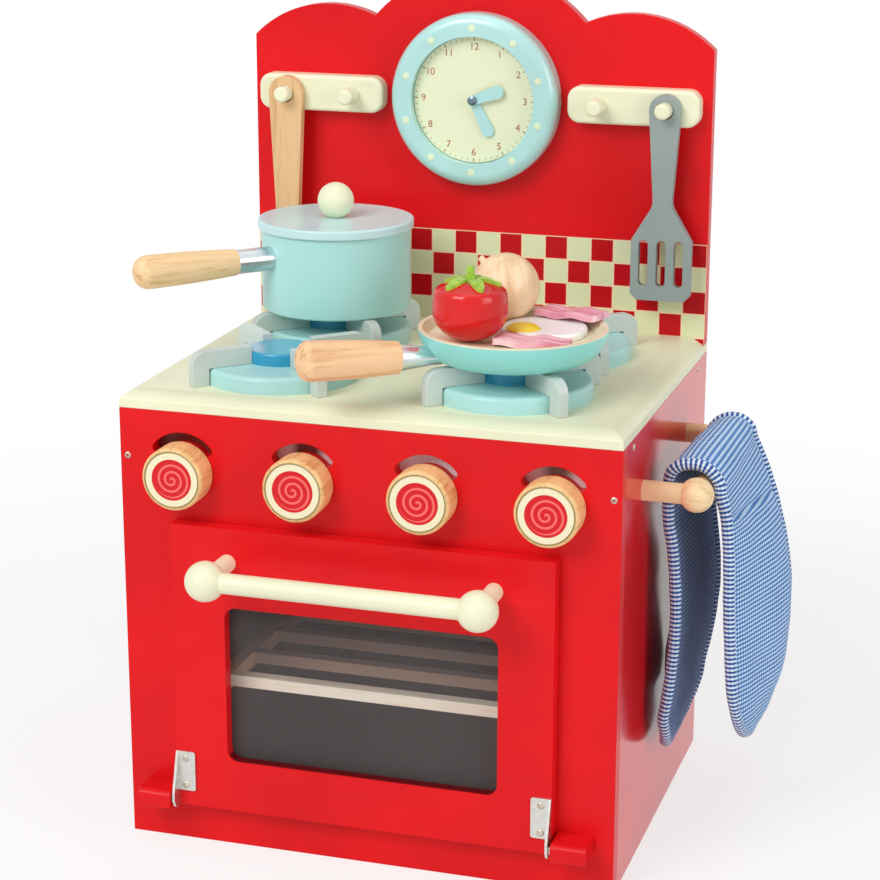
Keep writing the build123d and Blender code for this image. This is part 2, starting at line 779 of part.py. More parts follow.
with BuildPart() as spatula:
    with BuildSketch(front_plane(utensil_back_y)) as spatula_outline:
        with BuildLine():
            Polyline(
                (outer_peg_x - spatula_top_width / 2, hang_z),
                (outer_peg_x - spatula_neck_width / 2, hang_z - spatula_neck_drop),
                (outer_peg_x - spatula_blade_width / 2, hang_z - spatula_shoulder_drop),
                (outer_peg_x - spatula_blade_width / 2, hang_z - spatula_length + spatula_corner),
                (outer_peg_x - spatula_blade_width / 2 + spatula_corner, hang_z - spatula_length),
                (outer_peg_x + spatula_blade_width / 2 - spatula_corner, hang_z - spatula_length),
                (outer_peg_x + spatula_blade_width / 2, hang_z - spatula_length + spatula_corner),
                (outer_peg_x + spatula_blade_width / 2, hang_z - spatula_shoulder_drop),
                (outer_peg_x + spatula_neck_width / 2, hang_z - spatula_neck_drop),
                (outer_peg_x + spatula_top_width / 2, hang_z),
                close=True,
            )
        make_face()
        neck_corners = spatula_outline.vertices().group_by(Axis.Y)[-2]
        shoulder_corners = spatula_outline.vertices().group_by(Axis.Y)[-3]
        fillet(neck_corners, spatula_neck_width)
        fillet(shoulder_corners, spatula_corner)
        with Locations((outer_peg_x, hang_z)):
            Circle(spatula_top_width / 2)
            Circle(hole_radius, mode=Mode.SUBTRACT)
        slot_z = hang_z - spatula_shoulder_drop - spatula_slot_height / 2
        with Locations((outer_peg_x, slot_z)):
            with GridLocations(spatula_slot_pitch, 0, 3, 1):
                SlotOverall(
                    spatula_slot_height, spatula_slot_width, rotation=90, mode=Mode.SUBTRACT
                )
    extrude(amount=utensil_thickness)
save(spatula, "spatula")

bowl_radius = spoon_bowl_width / 2
spoon_x = -outer_peg_x
with BuildPart() as spoon:
    with BuildSketch(front_plane(utensil_back_y)):
        with Locations((spoon_x, hang_z)):
            Circle(spoon_top_width / 2)
        with BuildLine():
            Polyline(
                (spoon_x - spoon_top_width / 2, hang_z),
                (spoon_x - spoon_neck_width / 2, hang_z - spoon_neck_drop),
                (spoon_x - spoon_neck_width / 2, hang_z - spoon_length + bowl_radius),
                (spoon_x + spoon_neck_width / 2, hang_z - spoon_length + bowl_radius),
                (spoon_x + spoon_neck_width / 2, hang_z - spoon_neck_drop),
                (spoon_x + spoon_top_width / 2, hang_z),
                close=True,
            )
        make_face()
        bowl_height = spoon_length - spoon_neck_drop
        with Locations((spoon_x, hang_z - spoon_length + bowl_height / 2)):
            Ellipse(bowl_radius, bowl_height / 2)
        with Locations((spoon_x, hang_z)):
            Circle(hole_radius, mode=Mode.SUBTRACT)
    extrude(amount=utensil_thickness)
    for depth in (0, spoon_hollow):
        inset = spoon_rim + 2 * depth
        with BuildSketch(front_plane(utensil_back_y - utensil_thickness + depth)):
            with Locations((spoon_x, hang_z - spoon_length + bowl_height / 2)):
                Ellipse(bowl_radius - inset, bowl_height / 2 - inset)
    loft(mode=Mode.SUBTRACT)
save(spoon, "spoon")


def heading_plane(x, y, z, heading, slope=0.0):
    """Plane whose local x points along a heading, anticlockwise from +X, and up by the slope."""
    turn, lift = math.radians(heading), math.radians(slope)
    outwards = (
        math.cos(lift) * math.cos(turn),
        math.cos(lift) * math.sin(turn),
        math.sin(lift),
    )
    upwards = (
        -math.sin(lift) * math.cos(turn),
        -math.sin(lift) * math.sin(turn),
        math.cos(lift),
    )
    return Plane(origin=(x, y, z), x_dir=outwards, z_dir=upwards)


def turned_grip(plane, start, length, root_radius, end_radius, end_round):
    """Wooden grip along the plane's local x that swells towards a blunt round end."""
    swell = start + length - end_round
    with BuildPart() as grip:
        with BuildSketch(plane):
            with BuildLine():
                Line((start, 0), (start, root_radius))
                Bezier((start, root_radius), ((start + swell) / 2, end_radius), (swell, end_radius))
                EllipticalCenterArc((swell, 0), end_round, end_radius, start_angle=0, arc_size=90)
                Line((start + length, 0), (start, 0))
            make_face()
        revolve(axis=Axis(plane.origin, plane.x_dir))
    return grip


# ================================================================ saucepan
saucepan_axis = Axis((left_x, rear_burner_y, 0), (0, 0, 1))
with BuildPart() as saucepan:
    with BuildSketch(upright_turning_plane(left_x, rear_burner_y, pan_base)) as pot_profile:
        with Locations((saucepan_radius / 2, saucepan_height / 2)):
            Rectangle(saucepan_radius, saucepan_height)
        fillet(pot_profile.vertices().group_by(Axis.X)[-1].sort_by(Axis.Y)[0], pan_turn_radius)
        with Locations((0, saucepan_height)):
            Rectangle(
                2 * (saucepan_radius - saucepan_wall),
                2 * (saucepan_height - saucepan_floor),
                mode=Mode.SUBTRACT,
            )
    revolve(axis=saucepan_axis)
save(saucepan, "saucepan")

saucepan_ferrule_end = saucepan_radius + saucepan_ferrule_length
saucepan_handle = heading_plane(
    left_x, rear_burner_y, pan_base + saucepan_handle_rise, saucepan_heading
)
saucepan_handle_axis = Axis(saucepan_handle.origin, saucepan_handle.x_dir)
with BuildPart() as saucepan_ferrule:
    with BuildSketch(saucepan_handle):
        with Locations(((saucepan_radius / 2 + saucepan_ferrule_end) / 2, saucepan_ferrule_radius / 2)):
            Rectangle(saucepan_ferrule_end - saucepan_radius / 2, saucepan_ferrule_radius)
    revolve(axis=saucepan_handle_axis)
    with Locations((left_x, rear_burner_y, pan_base)):
        Cylinder(
            saucepan_radius,
            saucepan_height,
            align=(Align.CENTER, Align.CENTER, Align.MIN),
            mode=Mode.SUBTRACT,
        )
save(saucepan_ferrule, "saucepan_ferrule")

saucepan_grip = turned_grip(
    saucepan_handle,
    saucepan_ferrule_end,
    saucepan_grip_length,
    saucepan_grip_root_radius,
    saucepan_grip_end_radius,
    saucepan_grip_end_round,
)
save(saucepan_grip, "saucepan_grip")

lid_base = pan_base + saucepan_height + rest_gap
lid_top = lid_base + lid_thickness
with BuildPart() as saucepan_lid:
    with BuildSketch(upright_turning_plane(left_x, rear_burner_y, lid_base)) as lid_profile:
        with Locations((lid_radius / 2, lid_thickness / 2)):
            Rectangle(lid_radius, lid_thickness)
        fillet(lid_profile.vertices().group_by(Axis.X)[-1], pan_turn_radius)
        plug_radius = saucepan_radius - saucepan_wall - lid_plug_play
        with Locations((plug_radius / 2, -lid_plug / 2)):
            Rectangle(plug_radius, lid_plug)
    revolve(axis=saucepan_axis)
save(saucepan_lid, "saucepan_lid")

with BuildPart() as lid_knob:
    with Locations((left_x, rear_burner_y, lid_top + lid_knob_radius - lid_knob_flat)):
        Sphere(lid_knob_radius)
    split(bisect_by=Plane.XY.offset(lid_top), keep=Keep.TOP)
save(lid_knob, "lid_knob")

# ================================================================ frying pan
frying_axis = Axis((right_x, front_burner_y, 0), (0, 0, 1))
frying_flare = frying_rim_radius - frying_base_radius
with BuildPart() as frying_pan:
    with BuildSketch(upright_turning_plane(right_x, front_burner_y, pan_base)):
        with BuildLine():
            EllipticalCenterArc(
                (frying_base_radius, frying_height),
                frying_flare,
                frying_height,
                start_angle=270,
                arc_size=90,
            )
            recess_rim_radius = frying_rim_radius - frying_rim_wall
            Polyline(
                (frying_rim_radius, frying_height),
                (recess_rim_radius, frying_height),
                (recess_rim_radius - frying_recess_draft, frying_height - frying_recess),
                (0, frying_height - frying_recess),
                (0, 0),
                (frying_base_radius, 0),
            )
        make_face()
    revolve(axis=frying_axis)
save(frying_pan, "frying_pan")

frying_wall_radius = frying_base_radius + frying_flare * math.sqrt(
    1 - (1 - frying_handle_rise / frying_height) ** 2
)
frying_ferrule_end = frying_wall_radius + frying_ferrule_length
frying_handle_drop = frying_wall_radius * math.tan(math.radians(frying_handle_slope))
frying_handle = heading_plane(
    right_x,
    front_burner_y,
    pan_base + frying_handle_rise - frying_handle_drop,
    frying_heading,
    frying_handle_slope,
)
frying_handle_axis = Axis(frying_handle.origin, frying_handle.x_dir)
with BuildPart() as frying_pan_ferrule:
    with BuildSketch(frying_handle):
        with BuildLine():
            Polyline(
                (frying_wall_radius - frying_ferrule_root_radius, 0),
                (frying_wall_radius - frying_ferrule_root_radius, frying_ferrule_root_radius),
                (frying_wall_radius, frying_ferrule_root_radius),
                (frying_ferrule_end, frying_ferrule_end_radius),
                (frying_ferrule_end, 0),
                close=True,
            )
        make_face()
    revolve(axis=frying_handle_axis)
    add(frying_pan.part, mode=Mode.SUBTRACT)
save(frying_pan_ferrule, "frying_pan_ferrule")

frying_pan_grip = turned_grip(
    frying_handle,
    frying_ferrule_end,
    frying_grip_length,
    frying_grip_root_radius,
    frying_grip_end_radius,
    frying_grip_end_round,
)
save(frying_pan_grip, "frying_pan_grip")

# ================================================================ play food
food_floor = pan_base + frying_height - frying_recess + rest_gap


def in_pan(offset, height):
    """Point in the frying pan, from its axis and the top of its floor."""
    return (right_x + offset[0], front_burner_y + offset[1], food_floor + height)


tomato_x, tomato_y, tomato_z = in_pan(tomato_offset, tomato_half_height)
tomato_axis = Axis((tomato_x, tomato_y, 0), (0, 0, 1))
shoulder = (0.72 * tomato_radius, 0.84 * tomato_half_height)
crease = (0.35 * tomato_radius, tomato_half_height)
dimple = (0, 0.86 * tomato_half_height)
with BuildPart() as tomato:
    with BuildSketch(upright_turning_plane(tomato_x, tomato_y, tomato_z)):
        with BuildLine():
            Spline(
                dimple,
                crease,
                shoulder,
                (tomato_radius, 0),
                tangents=[(1, 0.2), (0, -1)],
            )
            EllipticalCenterArc((0, 0), tomato_radius, tomato_half_height, start_angle=270, arc_size=90)
            Line((0, -tomato_half_height), dimple)
        make_face()
    revolve(axis=tomato_axis)
save(tomato, "tomato")

# Calyx: the fruit's top raised by the leaf's thickness, cut to a star, with a stalk.
with BuildPart() as tomato_leaves:
    with BuildSketch(upright_turning_plane(tomato_x, tomato_y, tomato_z + leaf_thickness)):
        with BuildLine():
            Line((0, 0), dimple)
            Spline(
                dimple,
                crease,
                shoulder,
                (tomato_radius, 0),
                tangents=[(1, 0.2), (0, -1)],
            )
            Line((tomato_radius, 0), (0, 0))
        make_face()
    revolve(axis=tomato_axis)
    with BuildSketch(Plane.XY.offset(tomato_z)):
        with Locations((tomato_x, tomato_y)):
            Circle(leaf_reach / 3)
            with PolarLocations(leaf_reach / 2, leaf_count, start_angle=20):
                Ellipse(leaf_reach / 2, leaf_reach / 5)
    extrude(amount=2 * tomato_half_height, mode=Mode.INTERSECT)
    with Locations((tomato_x, tomato_y, tomato_z + dimple[1])):
        Cone(
            stem_radius,
            stem_radius * 0.8,
            stem_height,
            align=(Align.CENTER, Align.CENTER, Align.MIN),
        )
    add(tomato.part, mode=Mode.SUBTRACT)
save(tomato_leaves, "tomato_leaves")

onion_centre = in_pan(onion_offset, onion_radius)
onion_plane = Plane(origin=onion_centre, x_dir=(-0.68, 0, 0.73), z_dir=(0, -1, 0))
onion_tip_start = math.sqrt(onion_radius**2 - onion_tip_radius**2)
with BuildPart() as onion:
    with BuildSketch(onion_plane):
        with BuildLine():
            ThreePointArc((-onion_radius, 0), (0, onion_radius), (onion_tip_start, onion_tip_radius))
            Polyline(
                (onion_tip_start, onion_tip_radius),
                (onion_radius + onion_tip, onion_tip_radius * 0.8),
                (onion_radius + onion_tip, 0),
                (-onion_radius, 0),
            )
        make_face()
    revolve(axis=Axis(onion_centre, onion_plane.x_dir))
save(onion, "onion")

egg_centre = in_pan(egg_offset, 0)
with BuildPart() as fried_egg:
    with BuildSketch(Plane(origin=egg_centre)) as egg_outline:
        Circle(egg_radius - egg_ripple)
        with PolarLocations(egg_radius - egg_lobe_radius, 3, start_angle=egg_lobe_angle):
            Circle(egg_lobe_radius)
        fillet(egg_outline.vertices(), egg_lobe_radius)
    extrude(amount=egg_thickness)
    fillet(fried_egg.faces().sort_by(Axis.Z)[-1].edges(), egg_thickness * 0.45)
    yolk_centre = (
        egg_centre[0] + yolk_offset[0],
        egg_centre[1] + yolk_offset[1],
        egg_centre[2] + egg_thickness,
    )
    with BuildSketch(upright_turning_plane(*yolk_centre)):
        with BuildLine():
            yolk_arc_height = yolk_height * 0.8
            ThreePointArc(
                (yolk_radius, 0), (yolk_radius * 0.6, yolk_arc_height * 0.84), (0, yolk_arc_height)
            )
            Polyline((0, yolk_arc_height), (0, -egg_thickness / 2), (yolk_radius, -egg_thickness / 2))
            Line((yolk_radius, -egg_thickness / 2), (yolk_radius, 0))
        make_face()
    revolve(axis=Axis(yolk_centre, (0, 0, 1)))
save(fried_egg, "fried_egg")


bacon_middle = bacon_thickness / 2 + bacon_wave
with BuildPart() as rasher:
    with BuildSketch(Plane.XZ):
        with BuildLine():
            Spline(
                *[
                    (
                        bacon_length * (step / 8 - 0.5),
                        bacon_middle + bacon_wave * math.sin(math.pi * step / 2),
                    )
                    for step in range(9)
                ]
            )
        trace(line_width=bacon_thickness)
    extrude(amount=bacon_width / 2, both=True)
    with BuildSketch(Plane.XY):
        RectangleRounded(bacon_length - bacon_wave, bacon_width, bacon_round)
    extrude(amount=2 * bacon_middle, mode=Mode.INTERSECT)

# The rear slice bears on the pan's rim at one end and on the egg at the other.
rear_bacon_drop = rear_bacon_bearing * math.sin(math.radians(rear_bacon_tilt))
front_bacon_plane = Plane(origin=in_pan(front_bacon_offset, 0))
rear_bacon_plane = heading_plane(
    *in_pan(rear_bacon_offset, frying_recess - rear_bacon_drop), rear_bacon_turn, rear_bacon_tilt
)
for name, plane in (("bacon_front", front_bacon_plane), ("bacon_rear", rear_bacon_plane)):
    with BuildPart() as bacon:
        with Locations(plane):
            add(rasher.part)
    save(bacon, name)

# ================================================================ towel rail
towel_ball_x = half_width + towel_reach
towel_ends = (
    (towel_ball_x, towel_front_y, towel_rail_z),
    (towel_ball_x, towel_rear_y, towel_rail_z),
)
towel_socket_start = towel_ball_radius - ball_socket
with BuildPart() as towel_balls:
    with Locations(*towel_ends):
        Sphere(towel_ball_radius)
    with BuildSketch(front_plane(towel_rear_y - towel_socket_start)):
        with Locations((towel_ball_x, towel_rail_z)):
            Circle(towel_bar_radius + fixed_clearance)
    extrude(amount=towel_rear_y - towel_front_y - 2 * towel_socket_start, mode=Mode.SUBTRACT)
    with BuildSketch(Plane.YZ.offset(towel_ball_x - towel_socket_start)):
        with Locations((towel_front_y, towel_rail_z), (towel_rear_y, towel_rail_z)):
            Circle(towel_post_radius + fixed_clearance)
    extrude(amount=-ball_socket * 2, mode=Mode.SUBTRACT)
save(towel_balls, "towel_balls")

with BuildPart() as towel_posts:
    with BuildSketch(Plane.YZ.offset(half_width)):
        with Locations((towel_front_y, towel_rail_z), (towel_rear_y, towel_rail_z)):
            Circle(towel_post_radius)
    extrude(amount=towel_reach - towel_socket_start - fixed_clearance)
    with BuildSketch(Plane.YZ.offset(half_width)):
        with Locations((towel_front_y, towel_rail_z), (towel_rear_y, towel_rail_z)):
            Circle(towel_post_tenon_radius)
    extrude(amount=-towel_post_tenon)
save(towel_posts, "towel_posts")

with BuildPart() as towel_bar:
    with BuildSketch(front_plane(towel_rear_y - towel_socket_start - fixed_clearance)):
        with Locations((towel_ball_x, towel_rail_z)):
            Circle(towel_bar_radius)
    extrude(amount=towel_rear_y - towel_front_y - 2 * (towel_socket_start + fixed_clearance))
save(towel_bar, "towel_bar")

# Double mitt, folded over the bar: the centre line of the cloth is one arc and two straight legs.
mitt_fold_z = towel_rail_z + towel_bar_radius + rest_gap + mitt_thickness / 2 - mitt_fold_radius


def mitt_leg(tip, sign):
    """End points of one leg's centre line: where it leaves the fold's arc, and its tip."""
    reach = math.hypot(tip[0], tip[1])
    turn = math.atan2(tip[1], tip[0]) + sign * math.acos(mitt_fold_radius / reach)
    start = (
        towel_ball_x + mitt_fold_radius * math.cos(turn),
        mitt_fold_z + mitt_fold_radius * math.sin(turn),
    )
    return start, (towel_ball_x + tip[0], mitt_fold_z + tip[1])


inner_start, inner_end = mitt_leg(mitt_inner_tip, -1)
outer_start, outer_end = mitt_leg(mitt_outer_tip, 1)
mitt_front_y = towel_front_y + mitt_front_gap
mitt_low_z = min(inner_end[1], outer_end[1]) - mitt_thickness / 2
mitt_high_z = mitt_fold_z + mitt_fold_radius + mitt_thickness
with BuildPart() as oven_mitt:
    with BuildSketch(front_plane(mitt_front_y + mitt_width)):
        with BuildLine():
            ThreePointArc(inner_start, (towel_ball_x, mitt_fold_z + mitt_fold_radius), outer_start)
        trace(line_width=mitt_thickness)
        with BuildLine():
            Line(inner_end, inner_start)
        trace(line_width=mitt_thickness)
        with BuildLine():
            Line(outer_start, outer_end)
        trace(line_width=mitt_thickness)
        with Locations(inner_end, outer_end):
            Circle(mitt_thickness / 2)
    extrude(amount=mitt_width)
    with BuildSketch(Plane.YZ.offset(half_width)) as mitt_outline:
        with Locations((mitt_front_y + mitt_width / 2, (mitt_low_z + mitt_high_z) / 2)):
            Rectangle(mitt_width, mitt_high_z - mitt_low_z)
        fillet(mitt_outline.vertices().group_by(Axis.Y)[0], mitt_end_round)
    extrude(amount=2 * mitt_outer_tip[0] + towel_reach, mode=Mode.INTERSECT)
save(oven_mitt, "oven_mitt")
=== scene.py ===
import math

import bmesh
import bpy
from mathutils import Matrix, Vector, noise


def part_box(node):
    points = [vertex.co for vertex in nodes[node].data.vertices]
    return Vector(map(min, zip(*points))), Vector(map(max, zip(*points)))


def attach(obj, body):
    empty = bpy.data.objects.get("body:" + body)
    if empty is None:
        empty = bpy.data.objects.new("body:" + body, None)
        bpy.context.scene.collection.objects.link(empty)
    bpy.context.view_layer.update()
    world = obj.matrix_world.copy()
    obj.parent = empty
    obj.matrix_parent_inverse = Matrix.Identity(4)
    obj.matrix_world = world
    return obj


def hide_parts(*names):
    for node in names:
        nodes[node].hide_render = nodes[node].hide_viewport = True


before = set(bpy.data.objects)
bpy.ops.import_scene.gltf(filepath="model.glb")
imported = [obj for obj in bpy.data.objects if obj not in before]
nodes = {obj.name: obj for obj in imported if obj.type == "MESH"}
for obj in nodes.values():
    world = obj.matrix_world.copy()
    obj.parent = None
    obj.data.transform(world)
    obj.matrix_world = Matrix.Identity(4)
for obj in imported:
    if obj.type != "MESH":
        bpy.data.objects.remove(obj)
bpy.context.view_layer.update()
scene = bpy.context.scene
MM = 0.001      # a millimetre in metres


def mm(*values):
    """Millimetres as a vector in metres."""
    return Vector(values) * MM


def box_mm(node):
    low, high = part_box(node)
    return low / MM, high / MM


# ---------------------------------------------------------------- colours
def colour(red, green, blue):
    """A colour given as 0-255 display values, in linear light."""
    def linear(v):
        v /= 255
        return v / 12.92 if v <= 0.04045 else ((v + 0.055) / 1.055) ** 2.4
    return (linear(red), linear(green), linear(blue), 1.0)


def toned(base, factor):
    """A colour made lighter or darker."""
    return tuple(min(1, c * factor) for c in base[:3]) + (1,)


RED = colour(226, 22, 28)
CREAM = colour(238, 238, 205)
CHECK_CREAM = colour(226, 228, 186)
CHECK_LINE = colour(250, 222, 184)
CHECK_RED = colour(196, 16, 26)
LIGHT_BLUE = colour(178, 224, 222)
PAN_BLUE = colour(180, 230, 226)
SKILLET = colour(142, 218, 210)
HUB_BLUE = colour(34, 158, 200)
WOOD = colour(228, 188, 140)
WOOD_DARK = colour(206, 156, 104)
GRIP_WOOD = colour(244, 208, 160)
GRIP_WOOD_DARK = colour(222, 170, 114)
KNOB_WOOD = colour(240, 196, 138)
KNOB_WOOD_DARK = colour(214, 154, 92)
DARK = colour(54, 50, 49)


# ---------------------------------------------------------------- material builder
class Look:
    """A node material in the making: set fills a socket, node adds a node and returns one output."""

    def __init__(self, name, **sockets):
        self.material = bpy.data.materials.new(name)
        self.material.use_nodes = True
        self.tree = self.material.node_tree
        self.shader = self.tree.nodes["Principled BSDF"]
        for key, value in sockets.items():
            self.set(key.replace("_", " "), value)
        self.place = self.tree.nodes.new("ShaderNodeTexCoord").outputs["Object"]

    def set(self, socket, value, node=None):
        target = (node or self.shader).inputs[socket]
        if isinstance(value, bpy.types.NodeSocket):
            self.tree.links.new(value, target)
        else:
            target.default_value = value

    def node(self, kind, inputs=(), output=0, **settings):
        made = self.tree.nodes.new("ShaderNode" + kind)
        for key, value in settings.items():
            setattr(made, key, value)
        for socket, value in dict(inputs).items():
            self.set(socket, value, made)
        return made.outputs[output]

    def math(self, operation, first, second=0.0, third=0.0):
        return self.node("Math", {0: first, 1: second, 2: third}, operation=operation)

    def mix(self, share, first, second):
        made = self.tree.nodes.new("ShaderNodeMix")
        made.data_type = "RGBA"
        self.set(0, share, made)
        self.set(6, first, made)
        self.set(7, second, made)
        return made.outputs[2]

    def stretch(self, scale, turn=(0, 0, 0), source=None):
        """Object coordinates turned, then scaled along each axis."""
        turned = self.node("Mapping", {"Vector": source or self.place, "Rotation": turn})
        return self.node("Mapping", {"Vector": turned, "Scale": scale})

    def noise(self, scale, detail=3.0, roughness=0.55, distortion=0.0, source=None):
        return self.node("TexNoise", {
            "Vector": source or self.place, "Scale": scale, "Detail": detail,
            "Roughness": roughness, "Distortion": distortion})

    def ramp(self, share, *stops):
        """A smooth step between stops of (position, colour or grey)."""
        made = self.tree.nodes.new("ShaderNodeValToRGB")
        self.set("Fac", share, made)
        while len(made.color_ramp.elements) < len(stops):
            made.color_ramp.elements.new(0.5)
        for element, (position, value) in zip(made.color_ramp.elements, stops):
            element.position = position
            element.color = value if hasattr(value, "__len__") else (value, value, value, 1)
        return made.outputs[0]

    def step(self, value, edge, soft):
        """0 below edge, 1 above it, over a soft width."""
        return self.node("MapRange", {
            "Value": value, "From Min": edge - soft, "From Max": edge + soft,
            "To Min": 0.0, "To Max": 1.0}, interpolation_type="SMOOTHSTEP")

    def past(self, value, edge, soft=0.2):
        """0 short of a place given in millimetres, 1 beyond it."""
        return self.step(value, edge * MM, soft * MM)

    def short_of(self, value, edge, soft=0.2):
        """1 short of a place given in millimetres, 0 beyond it."""
        return self.math("SUBTRACT", 1.0, self.past(value, edge, soft))

    def reach(self, across, along):
        """Distance from the point where both lengths are zero."""
        squares = [self.math("MULTIPLY", length, length) for length in (across, along)]
        return self.math("SQRT", self.math("ADD", *squares))

    def xyz(self):
        made = self.tree.nodes.new("ShaderNodeSeparateXYZ")
        self.tree.links.new(self.place, made.inputs[0])
        return made.outputs

    def normal(self):
        made = self.tree.nodes.new("ShaderNodeSeparateXYZ")
        self.tree.links.new(self.node("NewGeometry", output="Normal"), made.inputs[0])
        return made.outputs

    def bump(self, height, strength, distance):
        self.set("Normal", self.node("Bump", {
            "Height": height, "Strength": strength, "Distance": distance}))


def painted(name, base, rough=0.38, coat=0.12, mottle=0.05, peel=0.12, shine=0.3):
    """Sprayed paint on wood: a faint cloudy tone, brush-free orange peel, softer sheen in patches."""
    look = Look(name, Roughness=rough, Coat_Weight=coat, Coat_Roughness=0.16, Specular_IOR_Level=shine)
    deeper, paler = toned(base, 1 - 2.2 * mottle), toned(base, 1 + mottle)
    look.tone = look.ramp(look.noise(14.0, 4.0), (0.32, deeper), (0.68, paler))
    look.set("Base Color", look.tone)
    look.set("Roughness", look.node("MapRange", {
        "Value": look.noise(60.0, 3.0), "To Min": rough - 0.06, "To Max": rough + 0.08}))
    look.bump(look.noise(420.0, 2.0), peel, 0.00018)
    return look


def wooden(name, light, dark, scale, turn=(0, 0, 0), rough=0.52):
    """Waxed beech: long grain and short dark flecks, with a faint relief."""
    look = Look(name, Roughness=rough, Coat_Weight=0.06, Coat_Roughness=0.3, Specular_IOR_Level=0.25)
    grain = look.noise(1.0, 6.0, 0.62, 0.6, look.stretch(scale, turn))
    tone = look.ramp(grain, (0.34, dark), (0.5, light), (0.72, toned(light, 1.08)))
    fleck_place = look.stretch([s * 3.2 for s in scale], turn)
    fleck = look.ramp(look.noise(1.0, 2.0, 0.5, 0.0, fleck_place), (0.62, 0.0), (0.72, 0.55))
    look.tone = look.mix(fleck, tone, dark)
    look.set("Base Color", look.tone)
    look.bump(look.math("ADD", grain, fleck), 0.18, 0.00025)
    return look


def metal(name, base, rough=0.3, scale=(400, 400, 400), scratch=0.05):
    """Metal with fine brushed marks, stretched by the scale along each axis."""
    look = Look(name, Metallic=1.0, Roughness=rough)
    brushed = look.noise(1.0, 3.0, 0.6, 0.0, look.stretch(scale))
    look.set("Base Color", look.ramp(brushed, (0.3, toned(base, 0.82)), (0.7, base)))
    look.set("Roughness", look.node("MapRange", {
        "Value": brushed, "To Min": rough - 0.07, "To Max": rough + 0.12}))
    look.bump(brushed, scratch, 0.00005)
    return look


# ---------------------------------------------------------------- materials of the CAD nodes
def dress(look, *names):
    for name in names:
        for slot in nodes[name].material_slots:
            slot.material = look.material


RED_SHEEN = {"rough": 0.3, "coat": 0.05, "shine": 0.14}
dress(painted("red_paint", RED, **RED_SHEEN), "front_panel", "hinge_blocks")
side_gloss = painted("side_gloss", RED, rough=0.13, coat=0.0, mottle=0.03, peel=0.04, shine=0.45)
dress(side_gloss, "side_panel_left", "side_panel_right")

# the base and back boards are dark on the faces that look forwards or up
inside = painted("red_paint_dark_inside", RED, rough=0.4, coat=0.05, shine=0.14)
_, facing_y, facing_z = inside.normal()
facing_front = inside.step(inside.math("MULTIPLY", facing_y, -1.0), 0.7, 0.1)
facing_in = inside.math("MAXIMUM", facing_front, inside.step(facing_z, 0.7, 0.1))
inside.set("Base Color", inside.mix(facing_in, inside.tone, DARK))
dress(inside, "base_panel", "back_panel")
dress(painted("dark_lining", DARK, rough=0.6, coat=0.0), "oven_liner")

# the door is painted darker red on the cut edges round the pane, as painted shade in the window's recess
REVEAL_SIDE = 5.6       # how far in from the pane's sides the darker paint ends
REVEAL_END = 4.2        # and how far in from its top and bottom
REVEAL_START = 1.2      # how far behind the door's face it starts
door_front = box_mm("door_board")[0].y
pane_low, pane_high = box_mm("door_window")
door = painted("door_paint", RED, **RED_SHEEN)
x, y, z = door.xyz()
reveal_shade = door.short_of(door.math("ABSOLUTE", x), pane_high.x - REVEAL_SIDE, 0.4)
for limit in (door.past(z, pane_low.z + REVEAL_END, 0.4),
              door.short_of(z, pane_high.z - REVEAL_END, 0.4),
              door.past(y, door_front + REVEAL_START, 0.4)):
    reveal_shade = door.math("MULTIPLY", reveal_shade, limit)
# painted shade: the recessed edges round the pane are mixed towards dark red
door.set("Base Color", door.mix(reveal_shade, door.tone, colour(104, 8, 16)))
dress(door, "door_board")

cream = painted("cream_paint", CREAM, rough=0.4, mottle=0.03)
dress(cream, "hob_board", "peg_rails", "rail_pegs", "handle_bar", "handle_posts", "handle_balls", "lid_knob")
dress(painted("light_blue_paint", LIGHT_BLUE, rough=0.3, mottle=0.03), "burner_discs")
clock_paint = painted("clock_paint", colour(180, 226, 222), rough=0.22, coat=0.5, mottle=0.05, shine=0.5)
dress(clock_paint, "clock_case")
dress(painted("silver_paint", colour(206, 216, 210), rough=0.42, mottle=0.06), "trivets")
dress(painted("utensil_paint", colour(152, 163, 160), rough=0.42, mottle=0.05), "spatula")
dress(painted("pan_paint", PAN_BLUE, rough=0.34, mottle=0.03), "saucepan")
lid = painted("lid_paint", colour(202, 234, 236), rough=0.3, coat=0.1, mottle=0.03, peel=0.04, shine=0.35)
dress(lid, "saucepan_lid")
dress(painted("hand_paint", LIGHT_BLUE, rough=0.4, mottle=0.02), "hour_hand", "minute_hand")
dress(painted("dial_paint", colour(236, 238, 204), rough=0.5, coat=0.05, mottle=0.02), "clock_dial")
dress(painted("hub_gloss", HUB_BLUE, rough=0.12, coat=0.8, mottle=0.08, peel=0.03), "burner_hubs")

GRAIN = 9.0      # features per metre along the grain
CROSS = 210.0    # and across it
ALONG_X, ALONG_Y, ALONG_Z = (GRAIN, CROSS, CROSS), (CROSS, GRAIN, CROSS), (CROSS, CROSS, GRAIN)
# painted light and shade: the rails' wood is paler than the side bars' wood, standing in for light on them,
# and behind RACK_SHADE_FROM it is mixed towards a darker brown as painted shade deeper in the oven
RACK_SHADE_FROM = -92.0      # behind this the rack's rails are dimmer
rack = wooden("rack_wood_painted_light_and_shade", colour(255, 244, 224), colour(250, 220, 182), ALONG_X)
# painted shade on the rails further back
deep = rack.past(rack.xyz()[1], RACK_SHADE_FROM, 8.0)
rack.set("Base Color", rack.mix(deep, rack.tone, colour(178, 150, 128)))
dress(rack, "rack_rails")
dress(wooden("rack_side_wood", WOOD, WOOD_DARK, ALONG_Y), "rack_side_bars", "rack_runners", "towel_bar")
towel_post_wood = wooden("towel_post_wood", colour(244, 216, 170), colour(224, 180, 126), ALONG_X)
dress(towel_post_wood, "towel_posts", "towel_balls")
dress(wooden("spoon_wood", WOOD, WOOD_DARK, ALONG_Z), "spoon")

